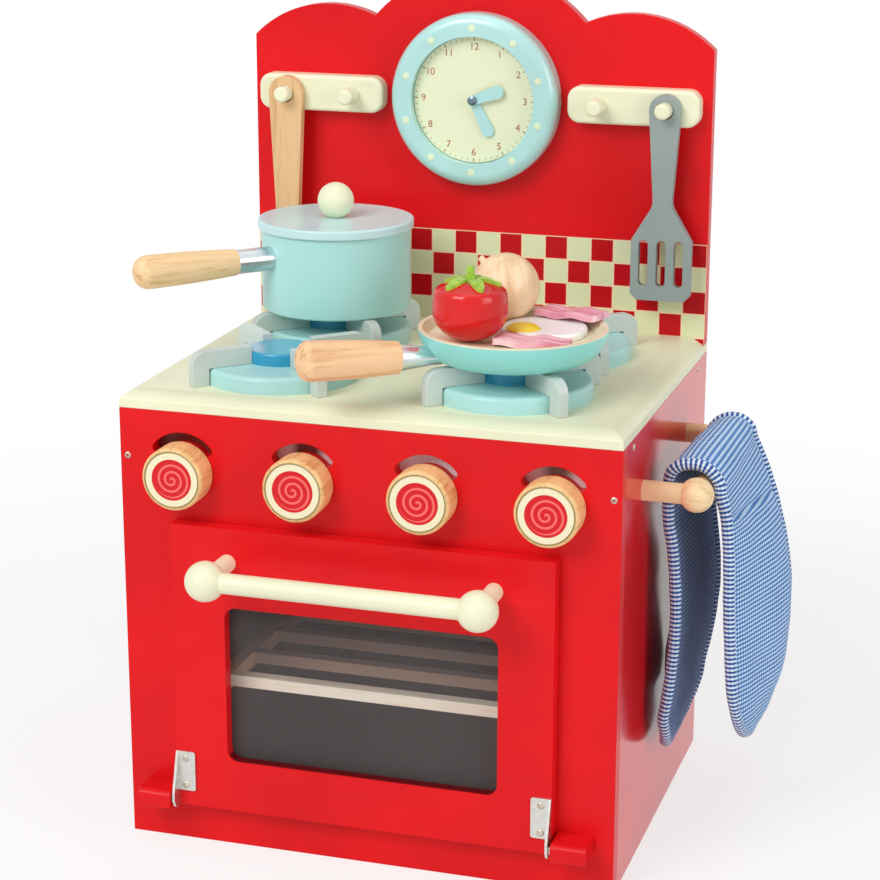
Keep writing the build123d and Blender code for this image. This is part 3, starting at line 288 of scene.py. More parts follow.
# each grip's grain runs along the grip, so its place is turned back by the grip's own direction
GRIP_GRAIN = (GRAIN * 1.5, CROSS, CROSS)
for name, light, dark, direction in (
        ("saucepan_grip", GRIP_WOOD, GRIP_WOOD_DARK, 228),
        ("frying_pan_grip", colour(243, 200, 154), colour(222, 168, 118), 220)):
    dress(wooden(f"{name}_wood", light, dark, GRIP_GRAIN, (0, 0, math.radians(-direction))), name)

ferrule_metal = metal("ferrule_metal", colour(222, 228, 232), 0.22, (60, 60, 500), 0.01)
dress(ferrule_metal, "saucepan_ferrule", "frying_pan_ferrule")
zinc = metal("zinc_plate", colour(226, 226, 220), 0.32)
dress(zinc, "hinge_brackets", "hinge_pins", "catch_plate", "catch_magnet")
dress(metal("spindle_metal", colour(120, 140, 150), 0.3), "clock_spindle")

pane = Look("window_pane", Roughness=0.08, Alpha=0.1, Specular_IOR_Level=0.2)
pane.set("Base Color", pane.ramp(pane.noise(6.0), (0.3, colour(168, 158, 158)), (0.7, colour(180, 170, 170))))
pane.bump(pane.noise(18.0, 2.0), 0.02, 0.0005)
dress(pane, "door_window")


# ---------------------------------------------------------------- splashback with the checked strip
CHECK = 15.0           # side of a square
CHECK_TOP = 338.5      # upper edge of the strip
LINE_SHARE = 0.035     # half the width of a pale line, as a share of a square
splash = painted("splash_paint", RED, **RED_SHEEN)
x, _, z = splash.xyz()
column = splash.math("DIVIDE", x, CHECK * MM)
row = splash.math("DIVIDE", splash.math("SUBTRACT", CHECK_TOP * MM, z), CHECK * MM)
squares = splash.math("ADD", splash.math("FLOOR", column), splash.math("FLOOR", row))
parity = splash.math("PINGPONG", squares, 1.0)


def near_line(look, value, width):
    """1 within width of a whole number."""
    part = look.math("FRACT", look.math("ADD", value, 0.5))
    away = look.math("ABSOLUTE", look.math("SUBTRACT", part, 0.5))
    return look.math("SUBTRACT", 1.0, look.step(away, width, width * 0.4))


line = splash.math("MAXIMUM", near_line(splash, column, LINE_SHARE), near_line(splash, row, LINE_SHARE))
square = splash.mix(parity, CHECK_CREAM, CHECK_RED)
square = splash.mix(line, square, CHECK_LINE)
front_face = splash.step(splash.math("MULTIPLY", splash.normal()[1], -1.0), 0.8, 0.1)
checked = splash.math("MULTIPLY", splash.short_of(z, CHECK_TOP), front_face)
splash.set("Base Color", splash.mix(checked, splash.tone, square))
dress(splash, "splashback")


# ---------------------------------------------------------------- knobs
SPIRAL_PITCH = 3.9
SPIRAL_EDGE = 10.8          # radius where the spiral ends
RED_EDGE = 12.3             # radius where the red ends and the cream ring starts
CREAM_EDGE = 16.0           # radius where the cream ring ends
DARK_BAND_RING = (15.7, 17.2)    # radii between which the knob's edge is a darker, duller tan
PAINT_DEPTH = 1.2           # how far back from the knob's front the paint reaches
DARK_BAND_DEPTH = 1.6            # and the darker band


def knob_look(number):
    low, high = box_mm(f"knob_{number}")
    centre = (low + high) / 2
    look = wooden(f"knob_face_{number}", KNOB_WOOD, KNOB_WOOD_DARK, (CROSS, GRAIN * 3, CROSS))
    x, y, z = look.xyz()
    dx = look.math("SUBTRACT", x, centre.x * MM)
    dz = look.math("SUBTRACT", z, centre.z * MM)
    radius = look.reach(dx, dz)
    angle = look.math("DIVIDE", look.math("ARCTAN2", dz, dx), 2 * math.pi)
    turns = look.math("FRACT", look.math("ADD", look.math("DIVIDE", radius, SPIRAL_PITCH * MM), angle))
    away = look.math("ABSOLUTE", look.math("SUBTRACT", turns, 0.5))
    spiral = look.math("SUBTRACT", 1.0, look.step(away, 0.17, 0.05))
    spiral = look.math("MULTIPLY", spiral, look.short_of(radius, SPIRAL_EDGE, 0.3))
    disc = look.mix(spiral, colour(214, 22, 32), colour(246, 112, 102))
    face = look.mix(look.past(radius, RED_EDGE), disc, colour(240, 232, 196))
    in_face = look.math("MULTIPLY", look.short_of(radius, CREAM_EDGE), look.short_of(y, low.y + PAINT_DEPTH))
    ring_start, ring_end = DARK_BAND_RING
    rim = look.math("MULTIPLY", look.past(radius, ring_start, 0.6), look.short_of(radius, ring_end, 0.4))
    rim = look.math("MULTIPLY", rim, look.short_of(y, low.y + DARK_BAND_DEPTH, 0.3))
    # a darker, duller tan band round the knob's front edge
    darkened = look.mix(look.noise(240.0, 3.0), colour(188, 160, 100), colour(206, 190, 142))
    body = look.mix(rim, look.tone, darkened)
    look.set("Base Color", look.mix(in_face, body, face))
    return look


for number in (1, 2, 3, 4):
    dress(knob_look(number), f"knob_{number}")

# tones of the part of each indicator disc that shows in its slot: place from left 0 to right 1, and colour
SLOT_SPAN = 26.0
INDICATORS = {
    1: ((0.0, colour(120, 40, 34)), (1.0, colour(150, 50, 44))),
    2: ((0.1, colour(236, 208, 204)), (0.3, colour(132, 60, 54)),
        (0.7, colour(140, 66, 60)), (0.9, colour(250, 226, 226))),
    3: ((0.0, colour(246, 250, 252)), (1.0, colour(252, 252, 252))),
    4: ((0.1, colour(240, 224, 220)), (0.35, colour(150, 128, 120)),
        (0.65, colour(160, 136, 128)), (0.9, colour(252, 240, 238))),
}
for number, stops in INDICATORS.items():
    low, high = box_mm(f"indicator_{number}")
    look = painted(f"indicator_paint_{number}", stops[0][1], rough=0.45)
    from_middle = look.math("SUBTRACT", look.xyz()[0], (low.x + high.x) / 2 * MM)
    share = look.math("ADD", look.math("DIVIDE", from_middle, SLOT_SPAN * MM), 0.5)
    look.set("Base Color", look.ramp(share, *stops))
    dress(look, f"indicator_{number}")


# ---------------------------------------------------------------- pans and food
CREAM_RADIUS = 52.3      # the frying pan is cream inside this radius,
CREAM_DEPTH = 6.0        # this far down from its rim,
RIM_DEPTH = 0.7          # and on top of the rim
pan_low, pan_high = box_mm("frying_pan")
pan_axis = (pan_low + pan_high) / 2
skillet = painted("skillet_paint", SKILLET, rough=0.34, coat=0.3, mottle=0.04)
x, y, z = skillet.xyz()
dx = skillet.math("SUBTRACT", x, pan_axis.x * MM)
dy = skillet.math("SUBTRACT", y, pan_axis.y * MM)
within = skillet.math("MULTIPLY", skillet.short_of(skillet.reach(dx, dy), CREAM_RADIUS),
                      skillet.past(z, pan_high.z - CREAM_DEPTH))
on_rim = skillet.past(z, pan_high.z - RIM_DEPTH, 0.3)
creamy = skillet.math("MAXIMUM", within, on_rim)
skillet.set("Base Color", skillet.mix(creamy, skillet.tone, colour(240, 232, 200)))
dress(skillet, "frying_pan")

dress(painted("tomato_skin", colour(222, 22, 22), rough=0.16, coat=0.2, mottle=0.1, peel=0.05), "tomato")
leaf = Look("leaf_felt", Roughness=0.85, Sheen_Weight=0.4)
leaf_tone = leaf.ramp(leaf.noise(260.0, 4.0), (0.3, colour(120, 172, 30)), (0.7, colour(186, 222, 70)))
leaf.set("Base Color", leaf_tone)
leaf.bump(leaf.noise(1500.0, 3.0), 0.4, 0.0004)
dress(leaf, "tomato_leaves")

onion = Look("onion_skin", Roughness=0.42, Coat_Weight=0.15, Coat_Roughness=0.3)
skin = onion.noise(1.0, 4.0, 0.6, 0.4, onion.stretch((160, 160, 14), (0.35, 0.2, 0)))
onion.set("Base Color", onion.ramp(skin, (0.3, colour(228, 188, 140)), (0.55, colour(247, 216, 176)),
                                   (0.8, colour(252, 230, 198))))
onion.bump(skin, 0.12, 0.0003)
dress(onion, "onion")

YOLK_OFFSET = (5.0, 3.0)      # from the pan's axis
YOLK_RADIUS = 10.2
egg = painted("egg_paint", colour(254, 255, 254), rough=0.3, coat=0.2, mottle=0.004)
x, y, _ = egg.xyz()
dx = egg.math("SUBTRACT", x, (pan_axis.x + YOLK_OFFSET[0]) * MM)
dy = egg.math("SUBTRACT", y, (pan_axis.y + YOLK_OFFSET[1]) * MM)
yolk = egg.mix(egg.noise(120.0), colour(246, 200, 20), colour(250, 224, 60))
egg.set("Base Color", egg.mix(egg.past(egg.reach(dx, dy), YOLK_RADIUS, 0.3), yolk, egg.tone))
dress(egg, "fried_egg")


def bacon_look(name, turn):
    look = Look(name, Roughness=0.42, Coat_Weight=0.2)
    streak = look.noise(1.0, 3.0, 0.5, 0.5, look.stretch((24, 230, 60), (0, 0, turn)))
    look.set("Base Color", look.ramp(streak, (0.3, colour(216, 120, 140)), (0.46, colour(238, 170, 190)),
                                     (0.56, colour(250, 214, 222)), (0.66, colour(240, 180, 200))))
    look.bump(streak, 0.1, 0.0003)
    return look


dress(bacon_look("bacon_paint_front", 0.0), "bacon_front")
dress(bacon_look("bacon_paint_rear", math.radians(18)), "bacon_rear")


# ---------------------------------------------------------------- eased edges on boards
def ease_edges(name, width):
    """Joins the flat faces of a board and rounds its sharp edges a little."""
    piece = nodes[name]
    weld = piece.modifiers.new("weld", "WELD")
    weld.merge_threshold = 1e-6
    flat = piece.modifiers.new("flat", "DECIMATE")
    flat.decimate_type = "DISSOLVE"
    flat.angle_limit = math.radians(0.5)
    bevel = piece.modifiers.new("ease", "BEVEL")
    bevel.width = width * MM
    bevel.segments = 2
    bevel.limit_method = "ANGLE"
    bevel.angle_limit = math.radians(35)
    bevel.use_clamp_overlap = True
    piece.data.polygons.foreach_set("use_smooth", [True] * len(piece.data.polygons))
    weighted = piece.modifiers.new("weighted", "WEIGHTED_NORMAL")
    weighted.keep_sharp = True


for name in ("side_panel_left", "side_panel_right", "front_panel", "back_panel", "base_panel", "hob_board",
             "splashback", "door_board", "hinge_blocks", "trivets", "spatula"):
    ease_edges(name, 0.5)


# ---------------------------------------------------------------- new pieces
def piece_from(build, name, look, body):
    """Makes a mesh object from a bmesh, gives it its material and lets it ride on a body."""
    mesh = bpy.data.meshes.new(name)
    bmesh.ops.recalc_face_normals(build, faces=build.faces)
    build.to_mesh(mesh)
    build.free()
    made = bpy.data.objects.new(name, mesh)
    scene.collection.objects.link(made)
    made.data.materials.append(look.material)
    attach(made, body)
    return made


def front_frame(x, y, z):
    """Places a flat design drawn in XY upright, facing the front."""
    return Matrix.Translation(mm(x, y, z)) @ Matrix.Rotation(math.pi / 2, 4, "X")


def add_turned(build, matrix, profile, segments):
    """Rings of (radius, height) joined by smooth faces and closed below; returns the top ring."""
    rings = []
    for radius, height in profile:
        rings.append([build.verts.new(matrix @ mm(radius * math.cos(a), radius * math.sin(a), height))
                      for a in (2 * math.pi * k / segments for k in range(segments))])
    for lower, upper in zip(rings, rings[1:]):
        for k in range(segments):
            n = (k + 1) % segments
            build.faces.new((lower[k], lower[n], upper[n], upper[k])).smooth = True
    build.faces.new(list(reversed(rings[0])))
    return rings[-1]


def add_disc(build, matrix, radius, height):
    """A low button: a rim, a shoulder and a slightly domed top."""
    dome = 0.35
    profile = ((radius, -0.05 * height), (radius, 0.45 * height), (radius * 0.92, 0.8 * height),
               (radius * 0.6, height * (1 + dome * 0.4)), (radius * 0.25, height * (1 + dome * 0.6)))
    top = add_turned(build, matrix, profile, 32)
    build.faces.new(top).smooth = True


def add_block(build, matrix, width, length, height):
    """A flat bar, let in a little way."""
    corners = [(sx * width / 2, sy * length / 2) for sx, sy in ((-1, -1), (1, -1), (1, 1), (-1, 1))]
    low = [build.verts.new(matrix @ mm(px, py, -0.1)) for px, py in corners]
    high = [build.verts.new(matrix @ mm(px, py, height)) for px, py in corners]
    build.faces.new(list(reversed(low)))
    build.faces.new(high)
    for k in range(4):
        n = (k + 1) % 4
        build.faces.new((low[k], low[n], high[n], high[k]))


# clock: dots on the ring, minute ticks and numbers on the dial
DOT_COUNT = 10
DOT_RING, TICK_RING, NUMBER_RING = 45.2, 38.0, 33.2      # radii of the three circles
case_low, case_high = box_mm("clock_case")
clock_z = (case_low.z + case_high.z) / 2
dial_y = box_mm("clock_dial")[0].y


def on_clock(ring, turn, y):
    """A place on a circle about the clock's middle, turned clockwise from its top."""
    return front_frame(ring * math.sin(turn), y, clock_z + ring * math.cos(turn))


dots = bmesh.new()
for k in range(DOT_COUNT):
    add_disc(dots, on_clock(DOT_RING, 2 * math.pi * k / DOT_COUNT, case_low.y), 2.3, 0.25)
piece_from(dots, "clock_dots", painted("dot_paint", colour(226, 240, 206), rough=0.45), "cabinet")

ticks = bmesh.new()
for k in range(60):
    turn = 2 * math.pi * k / 60
    width, length = (0.5, 1.1) if k % 5 else (0.8, 2.2)      # broader and longer at each hour
    at = on_clock(TICK_RING, turn, dial_y) @ Matrix.Rotation(-turn, 4, "Z")
    add_block(ticks, at, width, length, 0.05)
tick_look = painted("tick_paint", colour(186, 150, 96), rough=0.6, coat=0.0)
piece_from(ticks, "clock_ticks", tick_look, "cabinet")

number_look = painted("number_paint", colour(170, 96, 60), rough=0.6, coat=0.0)
for hour in range(1, 13):
    text = bpy.data.curves.new(f"number_{hour}", "FONT")
    text.body = str(hour)
    text.size = 6.2 * MM
    text.extrude = 0.04 * MM
    text.align_x = "CENTER"
    text.align_y = "CENTER"
    made = bpy.data.objects.new(f"number_{hour}", text)
    made.matrix_world = on_clock(NUMBER_RING, 2 * math.pi * hour / 12, dial_y - 0.03)
    scene.collection.objects.link(made)
    made.data.materials.append(number_look.material)
    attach(made, "cabinet")


def add_screw(build, matrix, radius, height):
    """A domed head with a cross sunk in it."""
    segments = 28
    cross = 0.5 * radius
    slot = 0.16 * radius
    profile = ((radius, -0.2), (radius, 0.25 * height),
               (radius * 0.86, 0.75 * height), (radius * 0.62, height))
    ring = add_turned(build, matrix, profile, segments)
    outline = [(slot, cross), (slot, slot), (cross, slot),
               (cross, -slot), (slot, -slot), (slot, -cross),
               (-slot, -cross), (-slot, -slot), (-cross, -slot),
               (-cross, slot), (-slot, slot), (-slot, cross)]
    top = [build.verts.new(matrix @ mm(px, py, height)) for px, py in outline]
    floor = [build.verts.new(matrix @ mm(px * 0.8, py * 0.8, height - 0.55 * radius)) for px, py in outline]
    edges = [build.edges.new((top[k], top[(k + 1) % len(top)])) for k in range(len(top))]
    ring_edges = [build.edges.get((ring[k], ring[(k + 1) % segments])) for k in range(segments)]
    bmesh.ops.triangle_fill(build, use_beauty=True, use_dissolve=False, edges=edges + ring_edges)
    for k in range(len(top)):
        n = (k + 1) % len(top)
        build.faces.new((top[k], top[n], floor[n], floor[k]))
    build.faces.new(floor)


CABINET_SCREW = (2.0, 0.5)           # radius and height of the head
BRACKET_SCREW = (2.2, 0.6)
FRONT_SCREW = (145.3, 239.5)         # out from the middle, and above the floor
SIDE_SCREW_Y = (-91.8, 90.0)
SIDE_SCREW_Z = 263.0
BRACKET_SCREW_Y = -129.5             # face of the bracket's upright leaf
BRACKET_SCREW_Z = (57.0, 40.0)
BRACKET_SCREW_INSET = 6.0            # in from the outer side of each bracket
screw_look = metal("screw_metal", colour(206, 196, 180), 0.34)
front_y = box_mm("front_panel")[0].y
side_x = box_mm("side_panel_right")[1].x
bracket_low, bracket_high = box_mm("hinge_brackets")
screws = bmesh.new()
for sign in (-1, 1):
    add_screw(screws, front_frame(sign * FRONT_SCREW[0], front_y, FRONT_SCREW[1]), *CABINET_SCREW)
for sy in SIDE_SCREW_Y:
    for sign in (-1, 1):
        outwards = Matrix.Rotation(sign * math.pi / 2, 4, "Y")
        at = Matrix.Translation(mm(sign * side_x, sy, SIDE_SCREW_Z)) @ outwards
        add_screw(screws, at, *CABINET_SCREW)
piece_from(screws, "cabinet_screws", screw_look, "cabinet")

bracket_screws = bmesh.new()
for sx in (bracket_low.x + BRACKET_SCREW_INSET, bracket_high.x - BRACKET_SCREW_INSET):
    for sz in BRACKET_SCREW_Z:
        add_screw(bracket_screws, front_frame(sx, BRACKET_SCREW_Y, sz), *BRACKET_SCREW)
piece_from(bracket_screws, "bracket_screws", screw_look, "door")


# ---------------------------------------------------------------- oven mitt
mitt_low, mitt_high = box_mm("oven_mitt")
MITT_WIDTH = mitt_high.y - mitt_low.y
mitt_mid_y = (mitt_low.y + mitt_high.y) / 2
BINDING_HALF = (3.0, 3.5)       # in the plane of the cloth, and through it
CLOTH_HALF = MITT_WIDTH / 2 - BINDING_HALF[0]
# the cloth's front and rear edges in the x-z plane: up beside the cabinet, over the bar, down the outer side
HANG = (
    ((156.0, 57.0), (156.0, 57.0)),      # inner tip
    ((163.0, 80.0), (164.0, 80.0)),
    ((168.0, 107.0), (173.0, 108.0)),
    ((170.5, 150.0), (177.0, 150.0)),
    ((167.5, 192.0), (172.0, 194.0)),
    ((161.0, 225.0), (166.5, 228.0)),
    ((166.0, 241.0), (174.0, 245.0)),    # over the bar
    ((184.0, 241.5), (188.5, 246.5)),
    ((195.5, 223.0), (200.0, 229.5)),
    ((200.0, 197.0), (212.0, 196.0)),
    ((202.0, 153.0), (220.5, 152.0)),
    ((205.0, 110.0), (219.5, 106.0)),
    ((208.0, 80.0), (213.0, 78.0)),
    ((209.0, 67.5), (210.0, 67.5)),      # outer tip
)


def cubic(a, b, c, d, t):
    """Catmull-Rom step from b to c."""
    return b + 0.5 * t * (c - a + t * (2 * a - 5 * b + 4 * c - d + t * (3 * (b - c) + d - a)))


def edge_path(knots, steps=14):
    """Smooth curve through the knots."""
    knots = [Vector(p) for p in knots]
    knots = [knots[0] * 2 - knots[1]] + knots + [knots[-1] * 2 - knots[-2]]
    return [cubic(*knots[k - 1:k + 3], n / steps)
            for k in range(1, len(knots) - 2) for n in range(steps)] + [knots[-2]]


FRONT_EDGE, REAR_EDGE = (edge_path([pair[k] for pair in HANG]) for k in (0, 1))
PATH = [(a + b) / 2 for a, b in zip(FRONT_EDGE, REAR_EDGE)]
MITT_LENGTH = sum((b - a).length for a, b in zip(PATH, PATH[1:]))


def edges_at(distance):
    """Points of the front and rear edges at a distance along the middle of the mitt."""
    for k, (a, b) in enumerate(zip(PATH, PATH[1:])):
        step = (b - a).length
        if distance <= step or k == len(PATH) - 2:
            return [edge[k] + (edge[k + 1] - edge[k]) * (distance / step) for edge in (FRONT_EDGE, REAR_EDGE)]
        distance -= step


ROUND = 44.0      # length over which each end of the mitt rounds off


def half_width(s):
    """Half the cloth's width at a distance from its inner tip: full in the middle, round at each end."""
    to_end = min(s, MITT_LENGTH - s)
    if to_end >= ROUND:
        return CLOTH_HALF
    t = 1 - max(to_end, 0) / ROUND
    return CLOTH_HALF * (1 - t ** 2.1) ** (1 / 2.1)


def mitt_point(u, s):
    """Where a point of the cloth lies before it is hung: u from -1 to 1 across, s along."""
    front, rear = edges_at(s)
    across = half_width(s) * u
    at = front.lerp(rear, (across / CLOTH_HALF + 1) / 2)
    return Vector((at.x, mitt_mid_y + across, at.y)) * MM


COLUMNS, ROWS = 24, 96      # grid of the cloth that settles
END_MARGIN = 0.4
rows = [END_MARGIN + (MITT_LENGTH - 2 * END_MARGIN) * j / ROWS for j in range(ROWS + 1)]
cloth = bmesh.new()
grid = [[cloth.verts.new(mitt_point(2 * i / COLUMNS - 1, s)) for i in range(COLUMNS + 1)] for s in rows]
for j in range(ROWS):
    for i in range(COLUMNS):
        cloth.faces.new((grid[j][i], grid[j][i + 1], grid[j + 1][i + 1], grid[j + 1][i]))
mesh = bpy.data.meshes.new("mitt_sheet")
cloth.to_mesh(mesh)
cloth.free()
sheet = bpy.data.objects.new("mitt_sheet", mesh)
scene.collection.objects.link(sheet)

SETTLE_FRAMES = 40
SETTLE_LIMIT = 2.5      # the most that settling may move any point
PIN_ABOVE = 236.0       # the cloth is held where it lies over the bar, above this height


def hang(sheet):
    """Lets the cloth settle over the bar, beside the cabinet, and keeps the result as its mesh."""
    pinned = sheet.vertex_groups.new(name="pinned")
    for j in range(ROWS + 1):
        middle_z = sheet.data.vertices[j * (COLUMNS + 1) + COLUMNS // 2].co.z / MM
        if middle_z > PIN_ABOVE:
            pinned.add([j * (COLUMNS + 1) + i for i in range(COLUMNS + 1)], 1.0, "REPLACE")
    colliders = []
    for name in ("towel_bar", "side_panel_right"):
        source = nodes[name]
        copy = bpy.data.objects.new(f"collide_{name}", source.data.copy())
        scene.collection.objects.link(copy)
        copy.modifiers.new("collision", "COLLISION")
        copy.collision.thickness_outer = 0.001
        copy.hide_render = True
        colliders.append(copy)
    modifier = sheet.modifiers.new("cloth", "CLOTH")
    settings = modifier.settings
    settings.quality = 8
    settings.mass = 0.02
    settings.tension_stiffness = 25
    settings.compression_stiffness = 25
    settings.shear_stiffness = 12
    settings.bending_stiffness = 6
    settings.bending_model = "ANGULAR"
    settings.vertex_group_mass = "pinned"
    settings.effector_weights.gravity = 0.35
    modifier.collision_settings.distance_min = 0.0045
    modifier.collision_settings.collision_quality = 3
    modifier.point_cache.frame_start = 1
    modifier.point_cache.frame_end = SETTLE_FRAMES
    for number in range(1, SETTLE_FRAMES + 1):
        scene.frame_set(number)
    evaluated = sheet.evaluated_get(bpy.context.evaluated_depsgraph_get())
    settled = [v.co.copy() for v in evaluated.to_mesh().vertices]
    evaluated.to_mesh_clear()
    sheet.modifiers.clear()
    scene.frame_set(1)
    limit = SETTLE_LIMIT * MM
    for vertex, goal in zip(sheet.data.vertices, settled):
        move = goal - vertex.co
        if move.length > limit:
            move *= limit / move.length
        vertex.co = vertex.co + move
    for copy in colliders:
        bpy.data.objects.remove(copy)


hang(sheet)

points = [vertex.co.copy() for vertex in sheet.data.vertices]
hung = [points[j * (COLUMNS + 1):(j + 1) * (COLUMNS + 1)] for j in range(ROWS + 1)]
bpy.data.objects.remove(sheet)


def hung_point(u, j):
    """The settled cloth at any place, by cubic steps between its grid points."""
    fi = min(max((u + 1) / 2 * COLUMNS, 0), COLUMNS - 1e-6)
    fj = min(max(j, 0), ROWS - 1e-6)
    i0, j0 = int(fi), int(fj)

    def row_value(jj):
        line = hung[min(max(jj, 0), ROWS)]
        a, b, c, d = (line[min(max(k, 0), COLUMNS)] for k in range(i0 - 1, i0 + 3))
        return cubic(a, b, c, d, fi - i0)
    return cubic(row_value(j0 - 1), row_value(j0), row_value(j0 + 1), row_value(j0 + 2), fj - j0)


FINE_I, FINE_J = 48, 220      # finer grid of the padding, across and along
HEM = 141.0           # length of each hand pocket, from its tip
HEM_SLOPE = 0.10      # how much further the pocket reaches for each mm towards the front
PAD = 2.9             # half the thickness of the padding
POCKET = 1.7          # extra cloth of the pocket
SEAM = 1.5            # depth of the groove just past the hem
STITCH = 0.5          # depth of the row of stitches in the hem
HAND = 12.0           # most that a pocket bulges
OUTER_HAND = 4.0      # and on the leg away from the cabinet
WALL_X = 156.5        # the pocket beside the cabinet bulges no further than this


def clamped(value):
    return min(1.0, max(0.0, value))


def thickness(u, s, side):
    """Half thickness of the padding at a place, in mm; side 1 is the outer face."""
    edge = 1 - abs(u) ** 6
    to_end = min(s, MITT_LENGTH - s)
    end = clamped(to_end / 8.0) ** 0.5
    body = PAD + 0.55 * noise.noise(Vector((u * 2.3, s / 23.0, side * 3.0)))
    body += 0.22 * noise.noise(Vector((u * 9.0, s / 6.0, side * 5.0)))
    hand = 0.0
    if side > 0:
        past_hem = to_end + u * CLOTH_HALF * HEM_SLOPE - HEM
        body += POCKET / (1 + math.exp(past_hem / 0.6))
        body -= SEAM * math.exp(-((past_hem - 1.4) / 1.5) ** 2)
        body -= STITCH * math.exp(-((past_hem + 5) / 0.9) ** 2)
        room = OUTER_HAND
        if s < MITT_LENGTH / 2:
            front, rear = edges_at(s)
            room = max(0.0, front.lerp(rear, (u + 1) / 2).x - WALL_X) * 0.85
        lean = clamped((u + 0.9) / 1.1) ** 1.3      # the pocket is fullest towards its rear edge
        hand = min(HAND, room) * lean * (1 - abs(u) ** 5) * clamped(to_end / 30.0) ** 0.7
        hand /= 1 + math.exp((past_hem + 14) / 6)
    return body * (0.35 + 0.65 * edge) * (0.35 + 0.65 * end) + hand


middle = [[hung_point(2 * i / FINE_I - 1, ROWS * j / FINE_J) for i in range(FINE_I + 1)]
          for j in range(FINE_J + 1)]


def surface_normal(i, j):
    a = middle[j][min(i + 1, FINE_I)] - middle[j][max(i - 1, 0)]
    b = middle[min(j + 1, FINE_J)][i] - middle[max(j - 1, 0)][i]
    n = b.cross(a)
    return n.normalized() if n.length > 1e-12 else Vector((1, 0, 0))


def length_at(j):
    return END_MARGIN + (MITT_LENGTH - 2 * END_MARGIN) * j / FINE_J


# the outer face of the padding is the side away from the bar
sign = 1 if surface_normal(FINE_I // 2, FINE_J * 5 // 6).x > 0 else -1
padding = bmesh.new()
uv_layer = padding.loops.layers.uv.new("cloth")
layers = []
for side in (1, -1):
    layer = []
    for j in range(FINE_J + 1):
        s = length_at(j)
        line = []
        for i in range(FINE_I + 1):
            u = 2 * i / FINE_I - 1
            offset = surface_normal(i, j) * (sign * side * thickness(u, s, side) * MM)
            line.append(padding.verts.new(middle[j][i] + offset))
        layer.append(line)
    layers.append(layer)


def cloth_face(corners, places, lining=0):
    face = padding.faces.new(corners)
    face.smooth = True
    face.material_index = lining
    for loop, (i, j) in zip(face.loops, places):
        s = length_at(j)
        loop[uv_layer].uv = ((2 * i / FINE_I - 1) * half_width(s) * MM, s * MM)


for j in range(FINE_J):
    for i in range(FINE_I):
        places = [(i, j), (i + 1, j), (i + 1, j + 1), (i, j + 1)]
        cloth_face([layers[0][b][a] for a, b in places], places)
        cloth_face([layers[1][b][a] for a, b in reversed(places)], list(reversed(places)), lining=1)
rim = [(i, 0) for i in range(FINE_I)] + [(FINE_I, j) for j in range(FINE_J)]
rim += [(i, FINE_J) for i in range(FINE_I, 0, -1)] + [(0, j) for j in range(FINE_J, 0, -1)]
for a, b in zip(rim, rim[1:] + rim[:1]):
    cloth_face([layers[k][j][i] for k, (i, j) in ((0, a), (1, a), (1, b), (0, b))], (a, a, b, b))


# colours of the check: between the stripes, on a stripe along the cloth, on a row across it, and on both
WOVEN = (colour(240, 250, 255), colour(140, 198, 248), colour(88, 160, 234), colour(24, 80, 160))
BOUND = (colour(240, 250, 255), colour(206, 232, 252), colour(52, 104, 186), colour(26, 70, 146))
CHECK_PITCH = 2.7       # from one stripe to the next
THREAD_PITCH = 0.45     # and from one thread to the next


def gingham(name, threads=WOVEN, shade=0.0):
    """Small blue and white check woven from dyed and white threads; the rows across show stronger."""
    look = Look(name, Roughness=0.88, Sheen_Weight=0.2, Sheen_Roughness=0.5, Specular_IOR_Level=0.2)
    split = look.tree.nodes.new("ShaderNodeSeparateXYZ")
    look.tree.links.new(look.node("UVMap", uv_map="cloth"), split.inputs[0])
    bands, waves = [], []
    for axis in (0, 1):
        phase = look.math("FRACT", look.math("DIVIDE", split.outputs[axis], CHECK_PITCH * MM))
        away = look.math("ABSOLUTE", look.math("SUBTRACT", phase, 0.5))
        bands.append(look.step(away, 0.25, 0.06))
        turns = look.math("MULTIPLY", split.outputs[axis], 2 * math.pi / (THREAD_PITCH * MM))
        waves.append(look.math("SINE", turns))
    pale = look.mix(bands[0], threads[0], threads[1])
    deep = look.mix(bands[0], threads[2], threads[3])
    tone = look.mix(bands[1], pale, deep)
    # random darker patches towards navy; shade lays painted shade over the whole cloth
    darkened = look.ramp(look.noise(45.0, 3.0), (0.3, 0.1 + shade), (0.7, shade))
    look.set("Base Color", look.mix(darkened, tone, colour(34, 52, 112)))
    fuzz = look.math("MULTIPLY", look.noise(380.0, 4.0), 1.6)
    look.bump(look.math("ADD", look.math("MULTIPLY", *waves), fuzz), 0.35, 0.00025)
    return look


mitt = piece_from(padding, "mitt_padding", gingham("mitt_check"), "oven_mitt")
# the lining side is the same check with painted shade laid over it, darker navy as if in shadow
mitt.data.materials.append(gingham("mitt_lining_painted_shade", shade=0.62).material)
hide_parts("oven_mitt")


def even_loop(points, normals, count):
    """A closed line taken at even steps, with the cloth's normal at each."""
    points, normals = points + points[:1], normals + normals[:1]
    lengths = [(b - a).length for a, b in zip(points, points[1:])]
    total = sum(lengths)
    out, k, walked = [], 0, 0.0
    for n in range(count):
        goal = total * n / count
        while walked + lengths[k] < goal:
            walked += lengths[k]
            k += 1
        t = (goal - walked) / max(lengths[k], 1e-12)
        out.append((points[k].lerp(points[k + 1], t), normals[k].lerp(normals[k + 1], t)))
    return out, total


def ease_loop(values):
    return [(values[k - 1] + values[k] * 2 + values[(k + 1) % len(values)]) / 4 for k in range(len(values))]


# binding: a soft roll round the whole edge, its stripes across its run
BINDING_STEPS = 640
SIDES = 16        # faces round the roll
GIRTH = 23.2      # length of pattern that goes once round the roll
INSET = 3         # grid steps in from the edge, where the cloth's normal is steadier


def inner_normal(i, j):
    return surface_normal(min(max(i, INSET), FINE_I - INSET), min(max(j, INSET), FINE_J - INSET))


